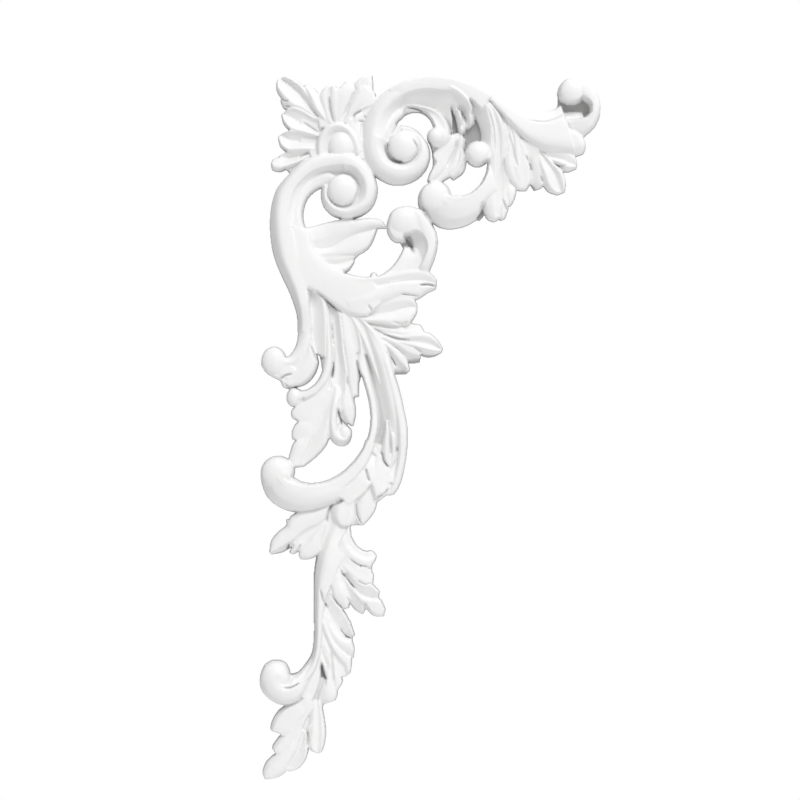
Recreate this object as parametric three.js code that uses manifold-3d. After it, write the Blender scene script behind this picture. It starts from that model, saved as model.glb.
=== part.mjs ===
import * as THREE from "three";
import Module from "manifold-3d";
import { mergeVertices } from "three/addons/utils/BufferGeometryUtils.js";

// Corner applique: one casting of scrolls and acanthus leaves with a flat back.
// Sizes are in millimetres. X runs right, Z up, and the carving faces -Y.
// The back lies on y = 0; the origin is on it, behind the shoulder of the left volute.
const HEIGHT = 636;
const GRID_ROWS = 706;
const WALL_INSET = 1.8;
const OUTLINE_GROWTH = 0.7;
const CHORD_TOLERANCE = 1.62;
const EDGE_SAMPLES = 48;
const COLUMN_SPACING = 8;
const SINK = 10;

// The drawing grid has GRID_ROWS squares over the height; the carving is drawn in its squares,
// with x to the right and y down, and heights above the back are in squares too.
const UNIT = HEIGHT / GRID_ROWS;
const ORIGIN = [338, 162];

// Sections run across a lobe from its left edge (0) to its right edge (1), as shares of the crest.
const ROUND = [[0, 0.66], [0.25, 0.93], [0.5, 1], [0.75, 0.93], [1, 0.66]];
const FLAT = [[0, 1], [1, 1]];

function curve(points, count) {
  const nodes = points.map((p) => new THREE.Vector3(p[0], p[1], 0));
  if (nodes.length === 2) {
    const spans = Array.from({ length: count + 1 }, (_, i) => i / count);
    return spans.map((t) => nodes[0].clone().lerp(nodes[1], t));
  }
  const path = new THREE.CatmullRomCurve3(nodes, false, "centripetal");
  return path.getSpacedPoints(count);
}

// A smooth run through evenly spaced values, or through pairs of place and value.
function valueAt(values, t) {
  const pairs = Array.isArray(values[0])
    ? values
    : values.map((v, i) => [values.length > 1 ? i / (values.length - 1) : 0, v]);
  if (pairs.length === 1) return pairs[0][1];
  let i = 0;
  while (i < pairs.length - 2 && t > pairs[i + 1][0]) i += 1;
  const [x0, v0] = pairs[i];
  const [x1, v1] = pairs[i + 1];
  return THREE.MathUtils.lerp(v0, v1, THREE.MathUtils.clamp((t - x0) / (x1 - x0), 0, 1));
}

// Points on a turn about a centre: angles in degrees, anticlockwise, radius through the values.
function turn(centre, start, end, radii) {
  const count = Math.max(6, Math.round(Math.abs(end - start) / 24));
  return Array.from({ length: count + 1 }, (_, i) => {
    const angle = THREE.MathUtils.degToRad(start + ((end - start) * i) / count);
    const radius = valueAt(radii, i / count);
    return [centre[0] + radius * Math.cos(angle), centre[1] - radius * Math.sin(angle)];
  });
}

const wasm = await Module();
wasm.setup();

// A grid square at a height above the back, in millimetres.
function place(point, height) {
  return [(point.x - ORIGIN[0]) * UNIT, -height * UNIT, (ORIGIN[1] - point.y) * UNIT];
}

function closedSolid(positions, triangles) {
  const vertProperties = new Float32Array(positions);
  const triVerts = new Uint32Array(triangles);
  return new wasm.Manifold(new wasm.Mesh({ numProp: 3, vertProperties, triVerts }));
}

const solids = [];

// The stations of an edge pair: of its even samples, those that keep every other sample of both
// edges within the chord tolerance of a straight span.
function stations(left, right) {
  const strays = (edge, first, last, i) => {
    const span = new THREE.Line3(edge[first], edge[last]);
    return span.closestPointToPoint(edge[i], true, new THREE.Vector3()).distanceTo(edge[i]);
  };
  const kept = [0];
  const walk = (first, last) => {
    let worst = CHORD_TOLERANCE;
    let split = -1;
    for (let i = first + 1; i < last; i += 1) {
      const stray = Math.max(strays(left, first, last, i), strays(right, first, last, i));
      if (stray > worst) {
        worst = stray;
        split = i;
      }
    }
    if (split > 0) {
      walk(first, split);
      walk(split, last);
    } else kept.push(last);
  };
  walk(0, left.length - 1);
  return kept;
}

// A lobe lies between two edges. Its crest height runs along it, and its section across it;
// the section may change evenly to an end section. Its sides lean in by the wall inset.
function lobe(name, leftEdge, rightEdge, crest, section, endSection = section) {
  const left = curve(leftEdge, EDGE_SAMPLES);
  const right = curve(rightEdge, EDGE_SAMPLES);
  const widest = left.reduce((most, p, i) => Math.max(most, p.distanceTo(right[i])), 0);
  const breaks = [...new Set([...section, ...endSection].map((pair) => pair[0]))];
  const columns = [0];
  breaks.sort((a, b) => a - b).forEach((u) => {
    const room = Math.min(u - columns.at(-1), 1 - u) * widest;
    if (room > COLUMN_SPACING) columns.push(u);
  });
  if (columns.length === 1 && breaks.length > 2) columns.push(0.5);
  columns.push(1);
  const rows = [];
  let direction = new THREE.Vector3(1, 0, 0);
  stations(left, right).forEach((i) => {
    const [a, b] = [left[i], right[i]];
    const width = a.distanceTo(b);
    if (width > 0.05 * widest + 0.3) direction = b.clone().sub(a).normalize();
    const grow = Math.max(OUTLINE_GROWTH, 0.5 - width / 2);
    const from = a.clone().addScaledVector(direction, -grow);
    const to = b.clone().addScaledVector(direction, grow);
    const along = i / EDGE_SAMPLES;
    const top = valueAt(crest, along);
    const inset = Math.min(WALL_INSET, 0.22 * from.distanceTo(to)) / from.distanceTo(to);
    const row = [place(from, -SINK), place(from, 0)];
    columns.forEach((u) => {
      const share = valueAt(section, u) * (1 - along) + valueAt(endSection, u) * along;
      row.push(place(from.clone().lerp(to, inset + (1 - 2 * inset) * u), top * share));
    });
    row.push(place(to, 0), place(to, -SINK));
    rows.push(row);
  });
  const size = rows[0].length;
  const count = rows.length - 1;
  const positions = rows.flat(2);
  const at = (i, j) => i * size + (j % size);
  const triangles = [];
  for (let i = 0; i < count; i += 1) {
    for (let j = 0; j < size; j += 1) {
      triangles.push(at(i, j), at(i + 1, j), at(i + 1, j + 1), at(i, j), at(i + 1, j + 1), at(i, j + 1));
    }
  }
  [0, count].forEach((i) => {
    const row = rows[i];
    const outline = row.map((p) => {
      const shift = Math.hypot(p[0] - row[0][0], p[2] - row[0][2]);
      return new THREE.Vector2(shift, -p[1]);
    });
    THREE.ShapeUtils.triangulateShape(outline, []).forEach(([a, b, c]) => {
      const side = outline[b].clone().sub(outline[a]).cross(outline[c].clone().sub(outline[a]));
      const [second, third] = (side < 0) === (i === 0) ? [b, c] : [c, b];
      triangles.push(at(i, a), at(i, second), at(i, third));
    });
  });
  addSolid(name, positions, triangles);
}

function addSolid(name, positions, triangles) {
  let solid = closedSolid(positions, triangles);
  if (solid.volume() < 0) {
    const turned = [];
    for (let i = 0; i < triangles.length; i += 3) {
      turned.push(triangles[i], triangles[i + 2], triangles[i + 1]);
    }
    solid = closedSolid(positions, turned);
  }
  if (solid.isEmpty()) throw new Error(`${name} does not close`);
  solids.push(solid);
}

// A boss is an oval button: its top bulges from the height of its rim to its own height.
function boss(name, centre, size, top, rim) {
  const sides = 12;
  const rings = [1, 0.7];
  const positions = [];
  rings.forEach((share, k) => {
    const height = rim + (top - rim) * Math.sqrt(1 - share * share);
    for (let i = 0; i < sides; i += 1) {
      const angle = (2 * Math.PI * i) / sides;
      const x = centre[0] + (size[0] + OUTLINE_GROWTH) * share * Math.cos(angle);
      const y = centre[1] + (size[1] + OUTLINE_GROWTH) * share * Math.sin(angle);
      if (k === 0) positions.push(...place({ x, y }, -SINK));
      positions.push(...place({ x, y }, height));
    }
  });
  positions.push(...place({ x: centre[0], y: centre[1] }, top));
  positions.push(...place({ x: centre[0], y: centre[1] }, -SINK));
  const middle = 3 * sides;
  const low = (i) => 2 * (i % sides);
  const high = (k, i) => (k === 0 ? 2 * (i % sides) + 1 : (k + 1) * sides + (i % sides));
  const triangles = [];
  for (let i = 0; i < sides; i += 1) {
    triangles.push(middle + 1, low(i + 1), low(i));
    triangles.push(low(i), low(i + 1), high(0, i + 1), low(i), high(0, i + 1), high(0, i));
    triangles.push(high(0, i), high(0, i + 1), high(1, i + 1));
    triangles.push(high(0, i), high(1, i + 1), high(1, i));
    triangles.push(high(1, i), high(1, i + 1), middle);
  }
  addSolid(name, positions, triangles);
}

// floors, the sunk ground between raised forms

// corner palmette
lobe(
  "p1", [[324, 124], [313, 115], [298, 108], [290, 106], [282, 98], [276, 87], [277, 78]],
  [[327, 122], [317, 112], [310, 98], [303, 86], [296, 80.5], [286, 76], [277, 78]], [12, 14, 16, 13],
  [[0, 0.8], [0.18, 0.95], [0.4, 0.8], [0.7, 0.6], [0.88, 1], [1, 0.85]],
);
lobe(
  "p1b", [[326, 122], [316, 111], [309, 97], [304, 85]],
  [[330, 121], [324, 108], [319, 95], [313, 87.5], [304, 83.5]], [13, 17, 17, 14],
  [[0, 0.85], [0.3, 1], [0.6, 0.9], [1, 0.7]],
);
lobe(
  "p2 upper", [[321, 133], [308, 127], [297, 122], [286, 116], [281, 116.5]],
  [[326, 121], [313, 116], [301, 109], [291, 107], [281, 114]], [12, 13, 14, 11],
  [[0, 0.5], [0.3, 0.6], [0.7, 0.8], [0.88, 1], [1, 0.8]],
);
lobe(
  "p2 lower", [[320, 137], [305, 133], [297, 132], [290, 129.5], [283, 122], [281, 115]],
  [[321, 133], [308, 127], [297, 121], [288, 115], [283, 113], [281, 115]], [13, 15, 14, 12],
  [[0, 0.85], [0.25, 1], [0.6, 0.75], [1, 0.5]],
);
lobe(
  "p3 upper", [[318, 142], [302, 141.5], [290, 139.5], [282, 135], [278, 137.5]],
  [[320, 136], [305, 132.5], [294, 130.5], [285, 131.5], [278, 136]], [12, 13, 14, 11],
  [[0, 0.5], [0.3, 0.6], [0.7, 0.8], [0.88, 1], [1, 0.8]],
);
lobe(
  "p3 lower", [[318, 150], [300, 150.5], [288, 151], [281, 146.5], [277.5, 138]],
  [[318, 142], [302, 141.5], [290, 140], [282, 136], [277.5, 136]], [13, 15, 14, 12],
  [[0, 0.85], [0.25, 1], [0.6, 0.75], [1, 0.5]],
);
lobe(
  "p4 lower", [[310, 156], [298, 163], [288, 167], [280, 170.5], [272, 168.5], [270.5, 163]],
  [[312, 152.5], [300, 156], [288, 159], [279, 157], [273, 158.5], [270.5, 162]], [12, 14, 14, 12],
  [[0, 0.8], [0.3, 1], [0.65, 0.85], [1, 0.6]],
);
lobe(
  "p6", [[327, 122], [323, 108], [320, 96], [323, 88.5], [329, 83.5]],
  [[333, 124], [329.5, 112], [328, 100], [329, 90], [330, 83.5]], [14, 15, 16, 15],
  [[0, 0.85], [0.4, 1], [0.8, 0.97], [1, 0.85]],
);
lobe(
  "p7", [[337, 124], [337, 108], [337, 96], [339, 88], [347, 79.5]],
  [[341, 124], [346, 110], [351.5, 98], [355, 90], [353, 81.5]], [14, 16, 17, 15],
  [[0, 0.97], [0.4, 1], [0.9, 0.93], [1, 0.8]],
);
lobe(
  "p8", [[353, 98], [356, 90], [355, 83], [362, 76.5], [370.5, 74]],
  [[362, 102], [371, 97], [372.5, 90], [372.5, 82], [371.5, 74]], [15, 17, 17, 14],
  [[0, 0.93], [0.3, 1], [0.6, 0.88], [0.85, 0.85], [1, 1]],
);
lobe(
  "p9", [[350, 117], [356, 111], [362, 105], [368, 98], [372, 93.5]],
  [[354, 118.5], [361, 110], [370, 107], [376, 102], [379.5, 98]], [14, 17, 17, 16],
  [[0, 0.8], [0.4, 1], [0.9, 0.95], [1, 0.8]],
);
lobe(
  "skirt b", [[345, 122], [350, 128], [354, 137], [356, 147], [358, 158]],
  [[356, 112], [359.5, 122], [361, 136], [361.5, 148], [364, 160]], [16, 17, 18, 18, 18],
  [[0, 0.95], [0.35, 1], [0.7, 0.97], [1, 0.93]],
);

// bud
lobe(
  "bud hood",
  [[317, 156], [317, 143], [322, 132], [330, 125.5], [338, 123.5], [347, 126.5], [355, 136], [361, 152]],
  [[330, 156], [329, 143], [331, 136], [336, 132], [341, 132], [346, 135.5], [351, 144], [354, 156]],
  [17, 19, 21, 22, 21, 20, 19], [[0, 0.7], [0.25, 1], [0.4, 0.97], [1, 0.62]],
  [[0, 0.97], [0.3, 1], [0.6, 0.95], [1, 0.75]],
);
boss("bud egg", [341.5, 146], [12.5, 14.5], 22, 14);

// left volute
lobe(
  "s1 rim", turn([343, 190], 90, -195, [37, 35.5, 34.2, 34, 33.4, 31, 29, 27, 25, 22.5, 20.5]),
  turn([343, 190], 90, -195, [15, 15, 14, 14, 14, 13, 13, 13, 13, 13, 13]),
  [22, 22, 22, 23, 23, 22, 22, 20, 18],
  [[0, 0.8], [0.08, 0.97], [0.25, 1], [0.5, 0.98], [0.55, 0.92], [1, 0.12]],
  [[0, 0.15], [0.14, 0.6], [0.32, 0.92], [0.5, 1], [0.62, 0.9], [1, 0.25]],
);
boss("s1 eye", [343, 190], [14.6, 15.1], 28, 19);
lobe(
  "stem rim",
  [[345, 153], [337, 153], [325, 153.5], [310, 157.5], [297, 166], [284, 179], [276, 190], [271.5, 205],
    [270, 222], [270.7, 237], [274, 256], [281.7, 275.5], [290.5, 294.5], [297, 315], [298, 332]],
  [[345, 165], [338, 165], [325, 167], [311, 172], [301, 181], [293, 193], [290, 205], [290, 220],
    [293, 235], [296, 250], [299, 264], [304, 277], [308, 292], [309, 310], [308, 332]],
  [22, 22, 22, 22, 22, 21.5, 20.5, 14.5],
  [[0, 0.5], [0.12, 0.85], [0.3, 1], [0.55, 1], [0.8, 0.97], [1, 0.93]],
  [[0, 0.02], [0.4, 0.95], [0.5, 1], [1, 0.97]],
);
lobe(
  "stem channel",
  [[346, 162], [341, 162], [325, 165.5], [311, 171.5], [301, 180], [293, 192], [289, 203], [288, 214],
    [290, 226]],
  [[346, 176], [341, 176], [328, 173.5], [316, 177], [306, 186], [300, 196], [297, 208], [297, 218],
    [300, 230]],
  [21, 21, 21, 20, 19.5, 19, 18.5, 18.5], [[0, 1], [1, 0.15]], [[0, 1], [1, 1]],
);
lobe(
  "inner band",
  [[335, 176], [328, 172.5], [316, 176], [306, 185], [299, 196], [296, 208], [295, 222], [297, 236]],
  [[332, 186], [324, 186], [313, 191.5], [306, 200], [303, 210], [303, 220], [305, 228], [308, 240]],
  [14, 14, 14, 15, 16, 17.5, 18.5, 19], [[0, 0.85], [0.25, 1], [0.6, 0.95], [1, 0.7]],
  [[0, 1], [0.6, 1], [1, 0.9]],
);

// right volute and arch
lobe(
  "s2 top", turn([403, 147], 88.4, 165, [65.5, 56.7, 49.4, 44.6]),
  turn([403, 147], 88.4, 165, [33, 21.5, 16, 15.5]), [23, 24, 24, 24],
  [[0, 0.8], [0.12, 0.97], [0.3, 1], [0.38, 0.97], [0.72, 0.36], [0.8, 0.5], [1, 0.55]],
  [[0, 0.2], [0.12, 0.6], [0.3, 0.88], [0.45, 0.98], [0.6, 1], [1, 0.6]],
);
lobe(
  "s2 band",
  turn([403, 147], 158, 455, [45.7, 42.4, 40.7, 39.2, 38, 35.5, 32.8, 29.7, 26.5, 23.1, 20, 18, 18]),
  turn([403, 147], 158, 455, [15.5, 16.5, 16.5, 16.5, 16, 15.5, 15.5, 15, 15, 15, 15, 15, 15]),
  [24, 24, 24, 23, 22, 22, 21, 21],
  [[0, 0.2], [0.12, 0.6], [0.3, 0.88], [0.45, 0.98], [0.6, 1], [1, 0.62]],
  [[0, 0.7], [0.3, 0.95], [0.6, 1], [1, 0.8]],
);
boss("s2 eye", [403.3, 146.4], [14.8, 15.2], 29, 20);
lobe(
  "arch channel",
  [[398, 95], [406, 92.5], [416, 90], [428, 89], [440, 90.5], [451, 95.5], [459, 102], [456, 111],
    [452.5, 121], [453, 134]],
  [[398, 104], [408, 105], [420, 105.5], [430, 108], [438, 113], [445, 119], [448, 124], [450, 129],
    [451, 134], [452, 140]],
  [[0, 20], [0.1, 22], [0.5, 22], [0.7, 18], [0.85, 10], [1, 6]], [[0, 0.95], [1, 0.4]],
  [[0, 0.85], [1, 0.05]],
);
lobe(
  "e1 curl",
  [[400, 107.5], [406, 104.5], [416, 105], [427, 107], [437, 111.5], [444, 118], [449, 127], [450, 136],
    [446, 143], [438, 147], [431, 144], [427.5, 137]],
  [[400, 119], [405, 114.5], [414, 111.5], [423, 113], [430, 118.5], [433, 125], [435, 130], [436, 134],
    [436, 136], [436, 137], [436, 137], [436, 137]],
  [10, 12, 14, 16, 18, 20, 21, 22, 23, 24], [[0, 0.95], [0.12, 1], [0.3, 0.7], [0.75, 0.3], [1, 0.15]],
  [[0, 0.5], [0.3, 0.85], [1, 1]],
);

// arch, arm and top right hook
lobe(
  "arch",
  [[388, 89], [402, 81.5], [412, 78], [425, 75.3], [437, 75.2], [450, 77], [465, 81], [480, 87],
    [494, 94]],
  [[396, 98], [406, 94], [416, 90.7], [427, 89.3], [440, 90.5], [449, 90], [457, 91.5], [468, 98],
    [482, 110]],
  [[0, 22], [0.15, 24], [0.6, 24], [1, 23]], [[0, 0.75], [0.1, 0.95], [0.3, 1], [0.6, 1], [1, 0.97]],
);
lobe(
  "arm",
  [[472, 83], [484, 89], [495, 95], [510, 102.5], [525, 108.5], [540, 111], [552, 110], [562, 105]],
  [[476, 92], [484, 97], [490, 102], [500, 113.5], [510, 125], [520, 135.5], [530, 144], [540, 149.5],
    [550, 152.5], [560, 154], [576, 156]],
  [23, 22, 22, 21, 20, 20, 20], [[0, 0.75], [0.1, 0.93], [0.3, 1], [0.7, 1], [0.78, 0.97], [1, 0.55]],
  [[0, 0.55], [0.15, 0.85], [0.4, 0.97], [0.66, 1], [0.8, 0.95], [1, 0.45]],
);
lobe(
  "r1", [[566, 130], [577, 130.5], [584, 138], [586, 146], [583, 153], [575, 156]],
  [[558, 143], [562, 146], [565, 149], [566, 151], [567, 153], [568, 155]], [19, 19, 18, 17, 13, 10],
  [[0, 0.75], [0.3, 1], [1, 1]],
);
lobe(
  "top hook",
  [[575, 134], [584, 134.5], [594, 127], [600, 115], [601, 103], [597, 90], [588, 80], [576, 77],
    [566, 79.5], [560, 87], [558.8, 95], [562, 100.5], [570, 103.5], [578, 102]],
  [[566, 121], [578, 119], [588, 116], [590.5, 110], [589, 104], [583.5, 99], [579, 95], [575, 93],
    [573, 93], [573, 93], [573, 93], [573, 93], [573, 93], [573, 93]],
  [16, 18, 20, 21, 22, 22, 22, 22, 22, 21, 21, 21, 21, 21],
  [[0, 0.6], [0.2, 0.92], [0.5, 1], [0.8, 0.95], [1, 0.8]],
  [[0, 0.75], [0.12, 0.93], [0.4, 0.99], [1, 1]],
);

// right leaf
lobe(
  "r2", [[545, 150], [557, 151], [569, 151], [576, 157], [578, 164]],
  [[548, 160], [554, 163], [560, 166], [566, 171], [577, 168]], [11, 13, 14, 12],
  [[0, 0.7], [0.2, 0.95], [0.55, 0.8], [0.72, 1], [1, 0.45]],
);
lobe(
  "r3", [[543, 152], [548, 157], [556, 165], [563, 172], [566, 182], [565, 192]],
  [[536, 150], [538, 162], [541, 172], [543, 181], [548, 190], [558, 194.5]], [11, 13, 15, 14, 12],
  [[0, 0.8], [0.15, 1], [0.4, 0.7], [0.75, 1], [0.85, 0.9], [1, 0.4]],
);
lobe(
  "r5", [[505, 118], [509, 133], [507, 148], [505, 160], [507, 172], [512, 182], [518, 190]],
  [[514, 128], [521, 140], [526, 150], [529, 162], [530, 175], [530, 183], [526, 190.5]],
  [16, 16, 16, 16, 15, 13],
  [[0, 0.85], [0.15, 1], [0.35, 0.8], [0.5, 1], [0.7, 0.88], [0.9, 0.95], [1, 0.8]],
  [[0, 0.8], [0.3, 1], [0.6, 0.95], [1, 0.85]],
);
lobe(
  "rib 2", [[486, 100], [494, 115], [498.5, 131], [499.5, 150], [500, 175]],
  [[492, 104], [501, 117], [507, 130], [507, 148], [503, 163]], [20, 20, 19, 17, 10],
  [[0, 0.72], [0.3, 0.97], [0.6, 1], [1, 0.8]],
);
lobe(
  "rib 1",
  [[466, 91], [478, 100], [486, 112], [490.5, 127], [491.5, 142], [489, 156], [488, 168], [483, 181],
    [480, 196], [484, 209], [488, 218.5], [495, 221.5]],
  [[480, 88], [488, 99], [494, 113], [498, 130], [499.5, 150], [500, 170], [500, 185], [500, 200],
    [499.5, 212], [499, 218], [498, 220]],
  [22, 22, 21, 20, 19, 17, 16, 16, 14], [[0, 0.85], [0.2, 1], [0.5, 1], [0.8, 0.9], [1, 0.6]],
  [[0, 0.6], [0.3, 0.9], [0.6, 1], [1, 0.7]],
);

// right C scroll
lobe(
  "right c",
  [[499, 195], [485, 207], [478, 217.5], [466, 225], [452, 228], [440, 226.5], [430, 219.5],
    [421, 209.5], [418.5, 199], [422, 189], [431, 182.5], [440, 181.5], [447, 185.5], [450, 191]],
  [[488, 160], [486, 173], [480, 184], [471, 192], [462, 195], [454, 195], [449, 204], [444, 203],
    [440, 200], [438, 198], [437, 197], [437, 197], [437, 197], [437, 197]],
  [17, 20, 22, 23, 24, 25, 25, 26, 26, 26, 26, 26, 26, 26],
  [[0, 0.2], [0.06, 0.5], [0.14, 0.8], [0.26, 0.95], [0.5, 1], [0.85, 0.98], [1, 0.9]],
  [[0, 0.15], [0.1, 0.42], [0.3, 0.75], [0.55, 0.95], [0.8, 1], [1, 1]],
);

// deep pocket between the arch and the leaflet
lobe(
  "e2 band",
  [[453, 87], [462, 92], [469, 99], [472.5, 106], [474, 113], [478, 121], [481, 131], [481, 141],
    [477, 146], [472, 150]],
  [[454, 85.5], [468, 93], [478, 101], [486, 113], [490.5, 128], [491, 146], [490, 156], [486, 162],
    [475, 166]],
  [[0, 25], [0.15, 23], [0.4, 20], [0.8, 19], [1, 22]], [[0, 0.6], [1, 1]], [[0, 0.12], [1, 1]],
);
boss("e2 ball", [477.5, 153.5], [11.5, 12.3], 25, 15);

// leaflet under the inner curl
lobe(
  "f left", [[447, 136], [446, 143], [438, 148], [433, 156], [436.5, 162], [431, 171], [427.5, 181]],
  [[458, 132], [458, 142], [455, 150], [452, 158], [449, 166], [442, 174], [430, 183]],
  [12, 12, 12, 12, 12, 11], [[0, 0.92], [0.25, 1], [0.6, 0.97], [1, 0.7]],
);
lobe(
  "f right", [[460, 134], [460, 148], [457, 160], [452, 170], [449.5, 176]],
  [[465, 138], [464, 150], [466, 160], [465, 168], [462, 173], [453, 179.5]], [12, 13, 13, 12, 11],
  [[0, 0.6], [0.4, 1], [0.7, 0.8], [1, 0.6]],
);

// left C scroll
lobe(
  "left c stem", [[360, 277], [378, 276], [392, 267], [400, 256], [403.5, 248.5], [404, 246]],
  [[372, 284], [398, 281], [416, 276], [424, 266], [426, 256], [420, 249]], [16, 17, 17, 16, 15, 11],
  [[0, 0.8], [0.15, 1], [0.5, 0.92], [0.8, 0.95], [1, 1]], [[0, 0.9], [0.5, 0.85], [1, 1]],
);
lobe(
  "left hook",
  [[427, 275], [433, 262], [437, 248], [437, 236], [433, 225], [424, 212], [412, 206.3], [400, 207],
    [391, 214], [387.5, 224], [389, 235], [396, 241.5], [406, 241]],
  [[418, 272], [424, 258], [427, 248], [425, 239], [419, 232.5], [414, 230.5], [409, 226], [405, 222],
    [403, 222], [403, 222], [403, 222], [403, 222], [403, 222]],
  [15, 20, 22, 23, 23, 23, 23, 22, 22, 22, 22, 22, 22],
  [[0, 0.8], [0.2, 0.97], [0.5, 1], [0.85, 0.97], [1, 0.9]],
  [[0, 0.75], [0.12, 0.93], [0.4, 0.99], [1, 1]],
);

// feather leaf inside the left volute
lobe(
  "feather top",
  [[298, 228], [310, 227], [323, 223.5], [338, 220], [355, 219.5], [370, 218], [380, 220], [387, 227]],
  [[304, 247], [318, 251], [332, 248.5], [344, 241], [354, 235], [364, 231], [374, 228], [387, 227.5]],
  [16, 14, 13, 14, 15, 16, 15, 12], [[0, 0.85], [0.2, 0.95], [0.5, 1], [0.75, 0.85], [1, 0.75]],
  [[0, 0.75], [0.3, 1], [0.7, 0.95], [1, 0.6]],
);
lobe(
  "feather low", [[304, 247], [318, 250], [332, 248], [344, 241], [356, 235], [368, 231], [378, 227.5]],
  [[300, 260], [318, 258], [335, 256], [352, 255.5], [363, 251.5], [370, 245], [377, 230]],
  [17, 15, 14, 14, 14, 13, 12], [[0, 0.8], [0.2, 0.93], [0.55, 1], [0.82, 0.95], [1, 0.6]],
);
lobe(
  "feather under", [[302, 254], [318, 255], [335, 255], [348, 254], [354, 257]],
  [[306, 270], [322, 272], [336, 273], [348, 270], [354, 262]], [17, 15, 14, 13, 11],
  [[0, 0.95], [0.3, 0.9], [0.5, 0.75], [0.8, 1], [1, 0.7]],
);

// body of the stem and the great leaf
lobe(
  "great leaf body",
  [[294, 226], [291, 245], [290, 262], [297, 280], [311, 290], [322, 296], [335, 306], [350, 314],
    [368, 316]],
  [[309, 232], [313, 248], [326, 263], [342, 272], [356, 277], [366, 280], [374, 284], [378, 292],
    [380, 304]],
  [[0, 19], [0.12, 20], [0.3, 21], [0.5, 21], [0.75, 20], [1, 18]], [[0, 1], [0.7, 1], [1, 0.93]],
  [[0, 0.75], [0.12, 0.95], [0.5, 1], [1, 0.95]],
);
lobe(
  "q1 top", [[345, 273], [362, 277], [380, 276], [400, 272.5], [418, 270], [430, 273], [437, 280]],
  [[340, 289], [358, 289], [376, 287], [394, 283], [410, 281], [424, 281], [437, 283]],
  [20, 20, 19, 18, 18, 17, 15], [[0, 0.95], [0.25, 1], [0.6, 0.93], [1, 0.8]],
);
lobe(
  "q1 bottom", [[340, 288], [358, 288], [376, 285], [394, 280], [410, 278], [426, 280], [437, 284]],
  [[352, 312], [370, 306], [386, 301], [400, 297], [416, 299], [428, 292], [436, 288.5]],
  [20, 20, 19, 18, 17, 16, 14], [[0, 0.8], [0.3, 0.95], [0.6, 1], [0.85, 0.95], [1, 0.8]],
  [[0, 0.75], [0.3, 1], [0.6, 0.97], [1, 0.7]],
);
lobe(
  "q2 top", [[364, 310], [376, 304], [390, 299], [402, 296.5], [412, 297], [417, 304]],
  [[364, 316], [378, 315], [392, 311], [404, 307], [413, 307], [417.5, 308]], [15, 15, 16, 16, 15, 13],
  [[0, 0.9], [0.3, 0.8], [0.6, 0.65], [1, 0.6]], [[0, 0.9], [0.4, 1], [1, 0.75]],
);
lobe(
  "q2 bottom", [[360, 317], [374, 315], [388, 312], [402, 307], [412, 305], [417.5, 306]],
  [[366, 322], [380, 323], [394, 325], [404, 324], [410, 322.5], [417, 313]], [16, 16, 16, 15, 14, 12],
  [[0, 0.6], [0.35, 0.95], [0.65, 1], [1, 0.88]],
);
lobe(
  "q3", [[362, 320], [378, 321.5], [394, 323], [410, 323.5], [421, 325]],
  [[370, 328], [384, 332], [398, 335], [412, 337], [425, 332]], [13, 12, 12, 12, 12, 11],
  [[0, 0.55], [0.3, 0.6], [0.65, 0.95], [1, 0.85]],
);
lobe(
  "q4", [[374, 329], [388, 333.5], [402, 336], [414, 333.5], [428, 333], [438, 341], [443, 349]],
  [[388, 340], [400, 344], [410, 348], [417, 352], [424, 356], [434, 356], [442, 352]],
  [12, 13, 14, 14, 14, 13, 11],
  [[0, 0.85], [0.15, 1], [0.45, 0.75], [0.68, 0.95], [0.76, 0.65], [1, 0.1]],
);

// fan of strands below the great leaf
lobe(
  "strand a", [[291, 292], [297.5, 312], [298.5, 330], [295, 348], [287, 357], [277, 353]],
  [[306, 296], [309.5, 312], [310.5, 328], [308, 345], [300, 360], [286, 370]],
  [17.5, 16, 15, 15, 15, 15], [[0, 0.3], [0.4, 0.8], [0.8, 1], [1, 0.95]],
  [[0, 0.65], [0.2, 0.9], [0.6, 1], [1, 0.8]],
);
boss("small curl ball", [273.5, 361], [12, 13.8], 18, 10);
lobe(
  "strand a lobe", [[277, 372], [286, 372], [297, 362], [305, 350], [310.5, 332]],
  [[291, 387.5], [303, 385], [313, 376], [318, 362], [312, 344]], [12, 14, 15, 15, 14],
  [[0, 0.8], [0.4, 1], [0.8, 0.9], [1, 0.5]],
);
lobe(
  "strand b", [[304, 291], [308, 303], [308.5, 322], [308, 338], [307.5, 352]],
  [[318, 290.5], [322, 299], [324.5, 315], [325, 335], [325, 357]], [18, 17, 16, 15],
  [[0, 0.6], [0.12, 0.42], [1, 1]],
);
lobe(
  "strand c",
  [[320, 294], [324, 312], [325, 332], [325, 352], [323.5, 366], [318, 380], [308, 389], [297, 391.5],
    [289, 396], [288, 401], [293, 405]],
  [[325, 298], [330, 316], [331.5, 335], [333, 352], [332, 366], [327, 380], [318, 391], [308, 397],
    [301, 399], [297, 399], [296, 399]],
  [17, 16, 16, 16, 16, 16, 16, 16, 16, 16, 15], [[0, 0.85], [0.4, 1], [0.75, 0.9], [1, 0.55]],
  [[0, 0.7], [0.5, 1], [1, 1]],
);
lobe(
  "strand e", [[336, 306], [340, 320], [342, 340], [345, 360], [348, 380], [351, 398]],
  [[348, 313], [350, 330], [355, 350], [357.5, 366], [358, 382], [358, 397]], [15, 15, 15, 14, 13, 12],
  [[0, 0.8], [0.3, 1], [0.7, 0.97], [1, 0.7]],
);

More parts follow.
